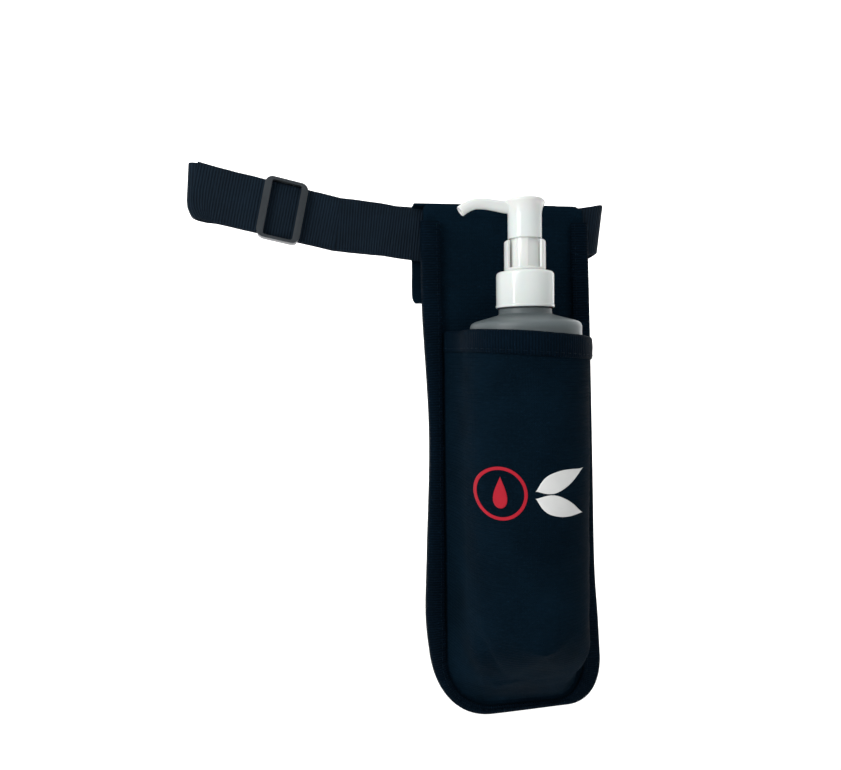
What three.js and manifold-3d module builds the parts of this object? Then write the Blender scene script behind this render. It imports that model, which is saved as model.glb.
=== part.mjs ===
// A massage-oil pump bottle in its belt holster.
// Millimetres, +Z up, +X across the holster, +Y towards the wearer's hip.
// Every piece is modelled about the bottle's axis with z = 0 at the bottle's base. The last lines
// shift the whole assembly so that its origin is the middle of the back panel's flat rear face.

import * as THREE from 'three';
import { mergeVertices } from 'three/addons/utils/BufferGeometryUtils.js';
import Module from 'manifold-3d';

const wasm = await Module();
wasm.setup();

// ---- driving dimensions ----

const GAP = 0.3; // air kept between neighbouring pieces

// bottle
const BOTTLE_R = 25;
const BOTTLE_WALL = 1.2;
const SHOULDER_Z = 140.2; // where the straight side ends
const SHOULDER_RISE = 3.3; // from the shoulder's edge to the foot of the neck
const NECK_R = 11.0;
const NECK_BORE_R = 9.0;
const NECK_TOP_Z = 158.6;
const BEAD_R = 11.9; // ring at the foot of the neck
const THREAD_R = 11.8;
const THREAD_PITCH = 3.175;
const THREAD_TURNS = 1.5;

// pump, from the closure up
const CAP_R = 13.2;
const CAP_BOTTOM_Z = 146.4;
const CAP_TOP_Z = 162.5;
const CAP_INNER_R = 12.15;
const CAP_PLATE = 1.2;
const GUARD_R = 9.35;
const GUARD_INNER_R = 8.1;
const GUARD_TOP_Z = 176.4;
const GUARD_WINDOW_DEG = 106;
const GUARD_WINDOW_AT_DEG = -107; // direction the window faces, from +X
const GUIDE_R = 6.65;
const GUIDE_TOP_Z = 178.3;
const SKIRT_R = 7.64;
const SKIRT_INNER_R = 7.0;
const SKIRT_BOTTOM_Z = 177.05;
const HEAD_FLARE_R = 9.15;
const HEAD_RIM_Z = 194.0;
const HEAD_TOP_Z = 195.6;
const STEM_R = 2.0;
const STEM_BORE_R = 1.0;
const SPOUT_R = 2.5;
const SPOUT_BORE_R = 1.2;

// pump, inside the bottle
const BARREL_R = 5.6;
const BARREL_BORE_R = 4.6;
const BARREL_FLOOR_Z = 112; // step that carries the spring
const CHAMBER_BORE_R = 2.6;
const SEAT_Z = 105.5;
const SEAT_BORE_R = 1.2;
const SOCKET_BOTTOM_Z = 92;
const BALL_R = 1.9;
const DIP_TUBE_R = 2.0;
const PISTON_BOTTOM_Z = 146;
const PISTON_TOP_Z = 154;
const WIRE_D = 0.7;
const SPRING_R = 3.3;
const SPRING_TURNS = 7;

// holster
const PANEL_FRONT_Y = 25.6;
const PANEL_REAR_Y = 28.6;
const PANEL_TOP_Z = 198.6;
const FLANGE_FRONT_Y = 24.0;
const BINDING_THICK = 1.1;
const BINDING_WIDTH = 9.0;
const BINDING_TOP_Z = 190;
const EDGE_INSET = GAP + BINDING_THICK; // how far the cloth's cut edge lies inside the binding's
const POCKET_TOP_Z = 134.0; // at the middle of the mouth
const MOUTH_TILT = 0.07; // the mouth's edge drops this much per millimetre towards +X
const POCKET_CLOTH = 1.3;
const POCKET_SIDE = 27.0; // half-width of the pocket beside the bottle's axis
const POCKET_FRONT = 26.2; // reach of the pocket in front of the bottle's axis
const POCKET_SEAM = 32.4; // half-width where the pocket meets the flange
const POCKET_FLOOR_FRONT_Z = -0.7;
const POCKET_FLOOR_REAR_Z = -46.5;
const HEM_DEPTH = 9.4;
const FLAP_BOTTOM_Z = 150.7;
const FLAP_FRONT_Y = 32.3;
const FLAP_REAR_Y = 33.5;
const FLAP_LEFT_X = -47.4;
const FLAP_RIGHT_X = 39;

// belt and slider
const WEB_W = 25;
const WEB_T = 1.2;
const TUNNEL_Y = 31.25; // middle of the webbing where it passes through the sleeve
const SLIDER_X = -108.5;
const SLIDER_Z = 194.0;
const BELT_RISE = 0.212; // climb of the straight left-hand run, per millimetre
const BELT_FORWARD = 0.07; // how fast that run comes forward, per millimetre
const BELT_BEND_X = -48.3; // where it starts to come forward
const HANK_LAYERS = 9;
const HANK_PITCH = 1.6;
const HANK_FIRST_Y = 35.5;
const HANK_HALF = 37; // straight stretch of each folded layer, either side of the middle
const HANK_Z = 185.5;

const MOUNT_Z = 60; // height of the hip mount above the bottle's base

// ---- finishes ----

const finish = (color, roughness) => new THREE.MeshStandardMaterial({ color, roughness, metalness: 0 });
const clothFinish = finish(0x0b1119, 0.9);
const tapeFinish = finish(0x0a0f16, 0.85);
const webbingFinish = finish(0x111a26, 0.8);
const sliderFinish = finish(0x23272c, 0.5);
const whiteFinish = finish(0xe9ece8, 0.3);
const frostFinish = finish(0xb9bfc0, 0.45);
const clearFinish = finish(0xdfe3e0, 0.35);
const steelFinish = new THREE.MeshStandardMaterial({ color: 0xb8bcc0, roughness: 0.3, metalness: 1 });

// ---- solids from three.js geometry ----

function volumeOf(geometry) {
  const place = geometry.getAttribute('position');
  const index = geometry.getIndex();
  const a = new THREE.Vector3();
  const b = new THREE.Vector3();
  const c = new THREE.Vector3();
  let sum = 0;
  for (let i = 0; i < index.count; i += 3) {
    a.fromBufferAttribute(place, index.getX(i));
    b.fromBufferAttribute(place, index.getX(i + 1));
    c.fromBufferAttribute(place, index.getX(i + 2));
    sum += a.dot(b.cross(c)) / 6;
  }
  return sum;
}

// shared vertices, faces outward
function weld(geometry) {
  const bare = geometry.clone();
  bare.deleteAttribute('normal');
  bare.deleteAttribute('uv');
  const welded = mergeVertices(bare, 1e-4);
  const kept = [];
  const index = welded.getIndex().array;
  for (let i = 0; i < index.length; i += 3) {
    const [a, b, c] = [index[i], index[i + 1], index[i + 2]];
    if (a !== b && b !== c && c !== a) kept.push(a, b, c);
  }
  welded.setIndex(kept);
  if (volumeOf(welded) < 0) {
    for (let i = 0; i < kept.length; i += 3) [kept[i], kept[i + 1]] = [kept[i + 1], kept[i]];
    welded.setIndex(kept);
  }
  return welded;
}

function toSolid(geometry) {
  const welded = weld(geometry);
  return new wasm.Manifold(new wasm.Mesh({
    numProp: 3,
    vertProperties: Float32Array.from(welded.getAttribute('position').array),
    triVerts: Uint32Array.from(welded.getIndex().array),
  }));
}

function toGeometry(solid) {
  const mesh = solid.getMesh();
  const geometry = new THREE.BufferGeometry();
  geometry.setAttribute('position', new THREE.BufferAttribute(new Float32Array(mesh.vertProperties), 3));
  geometry.setIndex(Array.from(mesh.triVerts));
  return geometry;
}

// closed profile [radius, height] turned about the Z axis
function turned(profile, segments = 40) {
  const points = profile.map(([radius, height]) => new THREE.Vector2(radius, height));
  return new THREE.LatheGeometry(points, segments).rotateX(Math.PI / 2);
}

// ring of rectangular section about the Z axis
function ring(innerR, outerR, bottom, top, segments = 40) {
  const corners = [[innerR, bottom], [outerR, bottom], [outerR, top], [innerR, top], [innerR, bottom]];
  return turned(corners, segments);
}

function rod(radius, bottom, top, segments = 24) {
  return turned([[0, bottom], [radius, bottom], [radius, top], [0, top]], segments);
}

// flat shape drawn in X and Z, standing between two values of Y
function plate(shape, frontY, rearY, curveSegments = 8) {
  const geometry = new THREE.ExtrudeGeometry(shape, {
    depth: rearY - frontY, bevelEnabled: false, curveSegments,
  });
  return geometry.rotateX(Math.PI / 2).translate(0, rearY, 0);
}

function box(x0, x1, y0, y1, z0, z1) {
  return new THREE.BoxGeometry(x1 - x0, y1 - y0, z1 - z0)
    .translate((x0 + x1) / 2, (y0 + y1) / 2, (z0 + z1) / 2);
}

function shapeFrom(points) {
  return new THREE.Shape(points.map(([x, z]) => new THREE.Vector2(x, z)));
}

// closed solid through rings of equally many points, capped at both ends
function loft(rings) {
  const count = rings[0].length;
  const position = rings.flat().flatMap((p) => [p.x, p.y, p.z]);
  const index = [];
  for (let r = 0; r + 1 < rings.length; r += 1) {
    for (let i = 0; i < count; i += 1) {
      const j = (i + 1) % count;
      const a = r * count + i;
      const b = r * count + j;
      index.push(a, b, a + count, b, b + count, a + count);
    }
  }
  for (const [r, flip] of [[0, true], [rings.length - 1, false]]) {
    const centre = position.length / 3;
    const middle = rings[r].reduce((sum, p) => sum.add(p), new THREE.Vector3()).divideScalar(count);
    position.push(middle.x, middle.y, middle.z);
    for (let i = 0; i < count; i += 1) {
      const a = r * count + i;
      const b = r * count + (i + 1) % count;
      if (flip) index.push(centre, b, a);
      else index.push(centre, a, b);
    }
  }
  const geometry = new THREE.BufferGeometry();
  geometry.setAttribute('position', new THREE.Float32BufferAttribute(position, 3));
  geometry.setIndex(index);
  return geometry;
}

// round tube along a curve
function tube(curve, radius, steps, sides) {
  const section = new THREE.Shape();
  section.absarc(0, 0, radius, 0, Math.PI * 2);
  return new THREE.ExtrudeGeometry(section, {
    steps, extrudePath: curve, bevelEnabled: false, curveSegments: sides / 2,
  });
}

const assembly = new THREE.Group();

function addNode(name, geometry, material, parent = assembly) {
  const mesh = new THREE.Mesh(geometry, material);
  mesh.name = name;
  parent.add(mesh);
  return mesh;
}

const addSolid = (name, solid, material, parent) => addNode(name, toGeometry(solid), material, parent);

// ---- holster outline, seen from the front, in X and Z ----

// points round the binding's outer edge from the top left corner down, along the bottom and up the
// right side, each moved outward by `offset`
function outline(offset = 0) {
  const path = new THREE.CurvePath();
  const v = (x, z) => new THREE.Vector2(x, z);
  const side = (points) => path.add(new THREE.SplineCurve(points.map(([x, z]) => v(x, z))));
  side([[-43.6, PANEL_TOP_Z], [-43.4, 150], [-40.6, 88], [-42.4, 30], [-43.4, -2], [-41.6, -22]]);
  path.add(new THREE.CubicBezierCurve(v(-41.6, -22), v(-38.6, -43), v(-26, -53.9), v(-11, -53.6)));
  path.add(new THREE.CubicBezierCurve(v(-11, -53.6), v(2, -53.3), v(18, -52.5), v(28, -52.2)));
  path.add(new THREE.CubicBezierCurve(v(28, -52.2), v(39.4, -51.8), v(45.6, -43), v(45.7, -29)));
  side([[45.7, -29], [44.6, -8], [42.8, 20], [41.9, 70], [40.7, 135], [39.2, PANEL_TOP_Z]]);
  const raw = [];
  for (const curve of path.curves) {
    const steps = curve.isSplineCurve ? 10 : 7;
    for (const p of curve.getPoints(steps).slice(0, -1)) raw.push(p);
  }
  raw.push(v(39.2, PANEL_TOP_Z));
  return raw.map((p, i) => {
    const before = raw[Math.max(i - 1, 0)];
    const after = raw[Math.min(i + 1, raw.length - 1)];
    const run = after.clone().sub(before).normalize();
    return [p.x + run.y * offset, p.y - run.x * offset];
  });
}

// outline with square top corners carried up by `lift`, for channels that wrap it
function outlineWithTop(offset, lift) {
  const points = outline(offset);
  const first = points[0];
  const last = points[points.length - 1];
  return [[first[0], PANEL_TOP_Z + lift], ...points, [last[0], PANEL_TOP_Z + lift]];
}

// ---- pocket: sections at constant Y, from the flange forward to the front of the bottle ----

function pocketHalfWidth(y, offset) {
  const side = POCKET_SIDE + offset;
  if (y >= 0) return side + (POCKET_SEAM - POCKET_SIDE) * (y / PANEL_FRONT_Y) ** 2;
  return side * Math.sqrt(Math.max(0, 1 - (y / (POCKET_FRONT + offset)) ** 2));
}

function pocketFloor(y, offset) {
  const slope = (POCKET_FLOOR_FRONT_Z - POCKET_FLOOR_REAR_Z) / (POCKET_FRONT + PANEL_FRONT_Y);
  return POCKET_FLOOR_REAR_Z + (PANEL_FRONT_Y - y) * slope - offset * Math.SQRT2;
}

function pocketSection(y, offset, topZ) {
  const half = pocketHalfWidth(y, offset);
  const floor = pocketFloor(y, offset);
  const depth = (PANEL_FRONT_Y - y) / (PANEL_FRONT_Y + POCKET_FRONT);
  const arc = (centreX, r, from) => {
    const points = [];
    for (let i = 0; i <= 5; i += 1) {
      const angle = from + (i / 5) * (Math.PI / 2);
      points.push(new THREE.Vector3(centreX + r * Math.cos(angle), y, floor + r + r * Math.sin(angle)));
    }
    return points;
  };
  const leftR = Math.min(half * 0.96, 24 - 8 * depth);
  const rightR = Math.min(half * 0.96, 12 + 2 * depth);
  return [
    new THREE.Vector3(half, y, topZ - MOUTH_TILT * half),
    new THREE.Vector3(-half, y, topZ + MOUTH_TILT * half),
    ...arc(leftR - half, leftR, Math.PI),
    ...arc(half - rightR, rightR, Math.PI * 1.5),
  ];
}

function pocketBulk(offset, topZ, rearY = PANEL_FRONT_Y - GAP) {
  const rings = [];
  for (const y of [rearY, 20, 14, 7]) rings.push(pocketSection(y, offset, topZ));
  for (const degrees of [0, 15, 30, 44, 57, 69, 79, 86]) {
    const y = -(POCKET_FRONT + offset) * Math.sin(THREE.MathUtils.degToRad(degrees));
    rings.push(pocketSection(y, offset, topZ));
  }
  return toSolid(loft(rings));
}

// ---- holster pieces ----

addNode('back_panel', weld(plate(shapeFrom(outline(-EDGE_INSET)), PANEL_FRONT_Y, PANEL_REAR_Y)), clothFinish);

// cut to the slope of the pocket's mouth
const tilted = (geometry) => toSolid(geometry.applyMatrix4(
  new THREE.Matrix4().makeShear(0, -MOUTH_TILT, 0, 0, 0, 0),
));

function makePocketPanel() {
  const flange = toSolid(plate(shapeFrom(outline(-EDGE_INSET)), FLANGE_FRONT_Y, PANEL_FRONT_Y - GAP));
  const belowTop = toSolid(box(-60, 60, -60, 60, -80, BINDING_TOP_Z));
  const mouth = tilted(box(-POCKET_SEAM, POCKET_SEAM, 0, 40, POCKET_TOP_Z, 250));
  const cutter = pocketBulk(0, POCKET_TOP_Z + 30, PANEL_FRONT_Y + 2);
  const bulge = pocketBulk(POCKET_CLOTH, POCKET_TOP_Z);
  return flange.intersect(belowTop).add(bulge).subtract(cutter).subtract(mouth);
}
addSolid('pocket_panel', makePocketPanel(), clothFinish);

function makeHemBinding() {
  const layer = POCKET_CLOTH + GAP;
  const reach = box(-60, 60, -60, FLANGE_FRONT_Y - 2.2, POCKET_TOP_Z + 1.1 - HEM_DEPTH, POCKET_TOP_Z + 1.1);
  const around = pocketBulk(layer + 0.9, POCKET_TOP_Z + 20).intersect(tilted(reach));
  const inside = pocketBulk(-GAP - 0.6, POCKET_TOP_Z + 40, PANEL_FRONT_Y + 2);
  const slot = pocketBulk(layer, POCKET_TOP_Z + GAP, PANEL_FRONT_Y + 2)
    .subtract(pocketBulk(-GAP, POCKET_TOP_Z + 20, PANEL_FRONT_Y + 3));
  return around.subtract(inside).subtract(slot);
}
addSolid('pocket_hem_binding', makeHemBinding(), tapeFinish);

function makeEdgeBinding() {
  const front = FLANGE_FRONT_Y - GAP;
  const rear = PANEL_REAR_Y + GAP;
  const outer = shapeFrom(outlineWithTop(0, 20));
  const inner = shapeFrom(outlineWithTop(-BINDING_THICK, 30));
  const middle = shapeFrom(outlineWithTop(-BINDING_WIDTH, 40));
  return toSolid(plate(outer, front - BINDING_THICK, rear + BINDING_THICK))
    .subtract(toSolid(plate(inner, front, rear)))
    .subtract(toSolid(plate(middle, front - 9, rear + 9)))
    .subtract(toSolid(box(-90, 90, -60, 60, BINDING_TOP_Z, 260)))
    .subtract(pocketBulk(POCKET_CLOTH + GAP + 0.1, POCKET_TOP_Z + 3, PANEL_FRONT_Y + 1));
}
addSolid('edge_binding', makeEdgeBinding(), tapeFinish);

function makeSleeveFlap() {
  const shape = new THREE.Shape();
  shape.moveTo(FLAP_RIGHT_X - 4, PANEL_TOP_Z + 0.6);
  shape.lineTo(FLAP_LEFT_X + 3, PANEL_TOP_Z + 0.6);
  shape.quadraticCurveTo(FLAP_LEFT_X, PANEL_TOP_Z + 0.6, FLAP_LEFT_X, PANEL_TOP_Z - 3);
  shape.lineTo(FLAP_LEFT_X, FLAP_BOTTOM_Z + 4);
  shape.quadraticCurveTo(FLAP_LEFT_X, FLAP_BOTTOM_Z, FLAP_LEFT_X + 4, FLAP_BOTTOM_Z);
  shape.lineTo(FLAP_RIGHT_X - 2, FLAP_BOTTOM_Z);
  shape.lineTo(FLAP_RIGHT_X, FLAP_BOTTOM_Z + 2);
  shape.lineTo(FLAP_RIGHT_X, PANEL_TOP_Z - 4);
  shape.quadraticCurveTo(FLAP_RIGHT_X, PANEL_TOP_Z + 0.6, FLAP_RIGHT_X - 4, PANEL_TOP_Z + 0.6);
  const sheet = toSolid(plate(shape, FLAP_FRONT_Y, FLAP_REAR_Y));
  const near = PANEL_REAR_Y + GAP;
  const seam = toSolid(box(-33, 29, near, FLAP_REAR_Y, FLAP_BOTTOM_Z, FLAP_BOTTOM_Z + 6));
  const fold = toSolid(box(-43, 24, near, FLAP_REAR_Y, PANEL_TOP_Z - 0.9, PANEL_TOP_Z + 0.6));
  return sheet.add(seam).add(fold);
}
addSolid('belt_sleeve_flap', makeSleeveFlap(), clothFinish);

// ---- belt ----

// frame of the straight left-hand run: along the belt, across its width, and through its thickness
const along = new THREE.Vector3(1, BELT_FORWARD, -BELT_RISE).normalize();
const across = new THREE.Vector3(0, 0, 1).addScaledVector(along, -along.z).normalize();
const through = across.clone().cross(along);
const sliderPlace = new THREE.Vector3(
  SLIDER_X, TUNNEL_Y + BELT_FORWARD * (SLIDER_X - BELT_BEND_X), SLIDER_Z,
);

// strip of webbing through stations { p: middle, w: direction across, n: direction through }
function ribbon(stations, thickness = WEB_T, width = WEB_W) {
  const rings = stations.map(({ p, w, n }) => {
    const corner = (a, b) => p.clone().addScaledVector(w, (a * width) / 2)
      .addScaledVector(n, (b * thickness) / 2);
    return [corner(-1, -1), corner(1, -1), corner(1, 1), corner(-1, 1)];
  });
  return loft(rings);
}

const TAIL_END_S = -40.6; // free end of the strap
const LAYER_START_S = -23; // where the strap's fixed end starts, behind the tail
const FOLD_S = -39.2; // centre of the fold at the belt's left end
const LAYER_N = 2.6; // how far behind the front layer the fixed end lies
const REAR_N = 8.2; // how far behind the front layer the rear run lies
const REAR_LIFT = 0.9; // how far above the front layer it rides
const RUN_END_S = 26; // last station of the straight run, towards the sleeve
const TIP_CURL = 0.002; // how the run's left end curves upward, per square millimetre
const TIP_CURL_FROM_S = -26;

// a point of that run: `s` along from the slider, `n` behind the front layer, `w` up its width
function onRun(s, n = 0, w = 0) {
  const curl = s < TIP_CURL_FROM_S ? TIP_CURL * (s - TIP_CURL_FROM_S) ** 2 : 0;
  return sliderPlace.clone().addScaledVector(along, s)
    .addScaledVector(through, n).addScaledVector(across, w + curl);
}

function makeBelt() {
  const stations = [];
  const add = (p, w, n) => stations.push({ p, w: w.clone().normalize(), n: n.clone().normalize() });
  const up = new THREE.Vector3(0, 0, 1);

  // fixed end, left-hand fold and rear run, all parallel to the straight run
  for (const s of [LAYER_START_S, -30, -35]) add(onRun(s, LAYER_N), across, through);
  const foldR = (REAR_N - LAYER_N) / 2;
  for (let i = 0; i <= 8; i += 1) {
    const angle = (i / 8) * Math.PI;
    const p = onRun(FOLD_S - foldR * Math.sin(angle), LAYER_N + foldR - foldR * Math.cos(angle));
    const n = through.clone().multiplyScalar(Math.cos(angle)).addScaledVector(along, Math.sin(angle));
    add(p, across, n);
  }
  const reversed = through.clone().negate();
  for (const s of [-35, -30, -20, 10, RUN_END_S]) add(onRun(s, REAR_N, REAR_LIFT), across, reversed);

  // into the hank: from the rear run's height to the hank's
  const start = onRun(RUN_END_S, REAR_N, REAR_LIFT);
  const steps = 6;
  for (let i = 1; i <= steps; i += 1) {
    const t = i / steps;
    const ease = t * t * (3 - 2 * t);
    const x = THREE.MathUtils.lerp(start.x, -HANK_HALF, t);
    const y = THREE.MathUtils.lerp(start.y, HANK_FIRST_Y, Math.min(1, ease * 1.15));
    const z = THREE.MathUtils.lerp(start.z, HANK_Z, t ** 0.8);
    const w = across.clone().lerp(up, ease);
    add(new THREE.Vector3(x, y, z), w, new THREE.Vector3(0, -1, 0).lerp(reversed, 1 - ease));
  }

  // folded layers, each running the other way, with a small round fold between two of them
  const small = HANK_PITCH / 2;
  for (let layer = 0; layer < HANK_LAYERS - 1; layer += 1) {
    const way = layer % 2 === 0 ? 1 : -1;
    const y = HANK_FIRST_Y + layer * HANK_PITCH;
    for (let i = 0; i <= 4; i += 1) {
      const angle = (i / 4) * Math.PI;
      const p = new THREE.Vector3(way * (HANK_HALF + small * Math.sin(angle)),
        y + small - small * Math.cos(angle), HANK_Z);
      add(p, up, new THREE.Vector3(Math.sin(angle), -way * Math.cos(angle), 0));
    }
  }

  // wide fold at the right-hand end, forward into the sleeve
  const lastY = HANK_FIRST_Y + (HANK_LAYERS - 1) * HANK_PITCH;
  const wide = (lastY - TUNNEL_Y) / 2;
  const rightLean = new THREE.Vector3(0.13, 0, 1).normalize();
  for (let i = 0; i <= 10; i += 1) {
    const angle = (i / 10) * Math.PI;
    const swell = Math.sin(angle);
    const p = new THREE.Vector3(43 + 8 * swell, TUNNEL_Y + wide + wide * Math.cos(angle),
      THREE.MathUtils.lerp(HANK_Z, 187.4, i / 10) + 2.6 * swell);
    add(p, up.clone().lerp(rightLean, Math.min(1, i / 5)),
      new THREE.Vector3(-swell * wide, -8 * Math.cos(angle), 0));
  }

  // front run through the sleeve and out to the straight run
  const joined = onRun(RUN_END_S);
  const front = new THREE.CatmullRomCurve3([
    new THREE.Vector3(43, TUNNEL_Y, 187.4), new THREE.Vector3(24, TUNNEL_Y, 184),
    new THREE.Vector3(0, TUNNEL_Y, 182.2), new THREE.Vector3(-24, TUNNEL_Y, 182.4),
    new THREE.Vector3(-48, TUNNEL_Y - 0.1, 184.6), new THREE.Vector3(-66, TUNNEL_Y - 1.1, 187.1), joined,
  ], false, 'centripetal');
  const behind = new THREE.Vector3(0, 1, 0);
  for (let i = 1; i <= 13; i += 1) {
    const t = i / 14;
    const slope = front.getTangent(t);
    const w = up.clone().addScaledVector(slope, -slope.z);
    add(front.getPoint(t), i < 3 ? w.lerp(rightLean, 1 - i / 3) : w, behind);
  }
  for (const s of [RUN_END_S, 20, -20, -27, -32, -37, TAIL_END_S]) add(onRun(s), across, through);
  return ribbon(stations);
}
addNode('belt_webbing', weld(makeBelt()), webbingFinish);

// elastic keeper round the folded layers
function makeKeeper() {
  const frontY = FLAP_REAR_Y + GAP;
  const rearY = HANK_FIRST_Y + (HANK_LAYERS - 1) * HANK_PITCH + WEB_T / 2 + 1.2;
  const low = HANK_Z - WEB_W / 2 - GAP;
  const high = HANK_Z + WEB_W / 2 + GAP;
  const outer = toSolid(box(-6, 6, frontY, rearY, low - 0.8, high + 0.8));
  return outer.subtract(toSolid(box(-9, 9, frontY + 0.8, rearY - 0.8, low, high)));
}
addSolid('hank_keeper', makeKeeper(), tapeFinish);

// ---- slider, drawn in its own frame: X along the belt, Z across it, Y behind the webbing ----

const SLIDER_LONG = 20;
const SLIDER_HIGH = 28.4;
const BAR_W = 3.2;
const BAR_T = 1.8;
const WEB_FACE = WEB_T / 2 + GAP;
const TAB_T = 1.0;
const CENTRE_BAR_Y = WEB_FACE + TAB_T + GAP;

const sliderGroup = new THREE.Group();
sliderGroup.applyMatrix4(new THREE.Matrix4().makeBasis(along, through, across).setPosition(sliderPlace));
assembly.add(sliderGroup);

function roundedRectangle(halfX, halfZ, radius) {
  const shape = new THREE.Shape();
  shape.absarc(halfX - radius, halfZ - radius, radius, 0, Math.PI / 2);
  shape.absarc(radius - halfX, halfZ - radius, radius, Math.PI / 2, Math.PI);
  shape.absarc(radius - halfX, radius - halfZ, radius, Math.PI, Math.PI * 1.5);
  shape.absarc(halfX - radius, radius - halfZ, radius, Math.PI * 1.5, Math.PI * 2);
  return shape;
}

function makeSlider() {
  const openX = SLIDER_LONG / 2 - BAR_W;
  const openZ = WEB_W / 2 + 0.4;
  const depth = CENTRE_BAR_Y + BAR_T;
  const outer = roundedRectangle(SLIDER_LONG / 2, SLIDER_HIGH / 2, 3.6);
  const body = toSolid(plate(outer, -WEB_FACE - BAR_T, depth, 5));
  const channel = toSolid(box(-20, 20, -WEB_FACE, depth + 5, -openZ, openZ));
  const openingShape = roundedRectangle(openX, openZ, 1.2);
  const opening = toSolid(plate(openingShape, -20, 0, 4));
  const bar = toSolid(box(-1.5, 1.5, CENTRE_BAR_Y, depth, -openZ - 0.5, openZ + 0.5));
  return body.subtract(channel).subtract(opening).add(bar);
}
addSolid('triglide_slider', makeSlider(), sliderFinish, sliderGroup);

// end of the strap, sewn back on itself round the slider's centre bar
function makeStrapLoop() {
  const halfIn = 1.5 + GAP;
  const shape = new THREE.Shape();
  const frontY = WEB_FACE;
  const rearY = CENTRE_BAR_Y + BAR_T + GAP + TAB_T;
  shape.moveTo(halfIn + TAB_T, frontY + 1);
  shape.lineTo(halfIn + TAB_T, rearY - 1);
  shape.quadraticCurveTo(halfIn + TAB_T, rearY, halfIn, rearY);
  shape.lineTo(-4.5, rearY);
  shape.lineTo(-6.5, frontY + 2 * TAB_T);
  shape.lineTo(-10.6, frontY + 2 * TAB_T);
  shape.lineTo(-10.6, frontY);
  shape.lineTo(halfIn, frontY);
  shape.quadraticCurveTo(halfIn + TAB_T, frontY, halfIn + TAB_T, frontY + 1);
  const hole = new THREE.Path();
  hole.moveTo(-halfIn, CENTRE_BAR_Y - GAP);
  hole.lineTo(halfIn, CENTRE_BAR_Y - GAP);
  hole.lineTo(halfIn, rearY - TAB_T);
  hole.lineTo(-halfIn - 1.4, rearY - TAB_T);
  hole.lineTo(-halfIn - 1.4, CENTRE_BAR_Y - GAP + 1);
  shape.holes.push(hole);
  const depth = WEB_W - 0.6;
  const geometry = new THREE.ExtrudeGeometry(shape, { depth, bevelEnabled: false, curveSegments: 3 });
  return geometry.translate(0, 0, -depth / 2);
}
addNode('strap_end_loop', weld(makeStrapLoop()), webbingFinish, sliderGroup);

// ---- bottle ----

function makeBottle() {
  const w = BOTTLE_WALL;
  const neckFoot = SHOULDER_Z + SHOULDER_RISE;
  const shell = toSolid(turned([
    [0, 1.2], [20.5, 1.2], [21, 0], [22.4, 0], [24.3, 0.8], [BOTTLE_R, 2.8],
    [BOTTLE_R, SHOULDER_Z - 2.2], [24.4, SHOULDER_Z - 0.7], [23, SHOULDER_Z],
    [BEAD_R + 1.2, neckFoot - 0.5], [BEAD_R, neckFoot], [BEAD_R, neckFoot + 2.3], [NECK_R, neckFoot + 2.7],
    [NECK_R, NECK_TOP_Z], [NECK_BORE_R, NECK_TOP_Z], [NECK_BORE_R, neckFoot + 1],
    [BEAD_R - 1, neckFoot - w], [22.6, SHOULDER_Z - w], [BOTTLE_R - w, SHOULDER_Z - 2.8],
    [BOTTLE_R - w, 3.4], [22.4, 2.2], [0, 2.4],
  ], 36));
  const radius = NECK_R + 0.2;
  const points = [];
  const stepsPerTurn = 12;
  for (let i = 0; i <= stepsPerTurn * THREAD_TURNS; i += 1) {
    const angle = (i / stepsPerTurn) * Math.PI * 2;
    const z = neckFoot + 5.2 + (i / stepsPerTurn) * THREAD_PITCH;
    points.push(new THREE.Vector3(radius * Math.cos(angle), radius * Math.sin(angle), z));
  }
  const helix = new THREE.CatmullRomCurve3(points);
  const thread = toSolid(tube(helix, THREAD_R - radius, points.length - 1, 6));
  return shell.add(thread);
}
addSolid('bottle', makeBottle(), frostFinish);

// ---- pump ----

function makeClosure() {
  const plateZ = CAP_TOP_Z - CAP_PLATE;
  return turned([
    [CAP_INNER_R, CAP_BOTTOM_Z], [CAP_R, CAP_BOTTOM_Z], [CAP_R - 0.25, CAP_TOP_Z - 1.3],
    [CAP_R - 0.6, CAP_TOP_Z - 0.4], [CAP_R - 1.5, CAP_TOP_Z], [GUIDE_R + GAP, CAP_TOP_Z],
    [GUIDE_R + GAP, plateZ], [CAP_INNER_R - 0.1, plateZ], [CAP_INNER_R, CAP_BOTTOM_Z],
  ], 36);
}
addNode('closure_cap', weld(makeClosure()), whiteFinish);

function makeGuard() {
  const bottom = CAP_TOP_Z + GAP;
  const wall = toSolid(turned([
    [GUARD_INNER_R, bottom], [GUARD_R - 0.5, bottom], [GUARD_R, bottom + 0.8], [GUARD_R, GUARD_TOP_Z - 0.6],
    [GUARD_R - 0.4, GUARD_TOP_Z], [GUARD_INNER_R, GUARD_TOP_Z], [GUARD_INNER_R, bottom],
  ], 36));
  const floor = toSolid(ring(GUIDE_R + GAP, GUARD_INNER_R + 0.4, bottom, bottom + 0.9, 36));
  const middle = THREE.MathUtils.degToRad(GUARD_WINDOW_AT_DEG);
  const half = THREE.MathUtils.degToRad(GUARD_WINDOW_DEG / 2);
  const wedge = new THREE.Shape();
  wedge.moveTo(0, 0);
  for (const angle of [middle - half, middle, middle + half]) {
    wedge.lineTo(30 * Math.cos(angle), 30 * Math.sin(angle));
  }
  const cut = new THREE.ExtrudeGeometry(wedge, { depth: 20, bevelEnabled: false })
    .translate(0, 0, bottom + 1.2);
  return wall.add(floor).subtract(toSolid(cut));
}
addSolid('stroke_guard', makeGuard(), whiteFinish);

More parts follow.
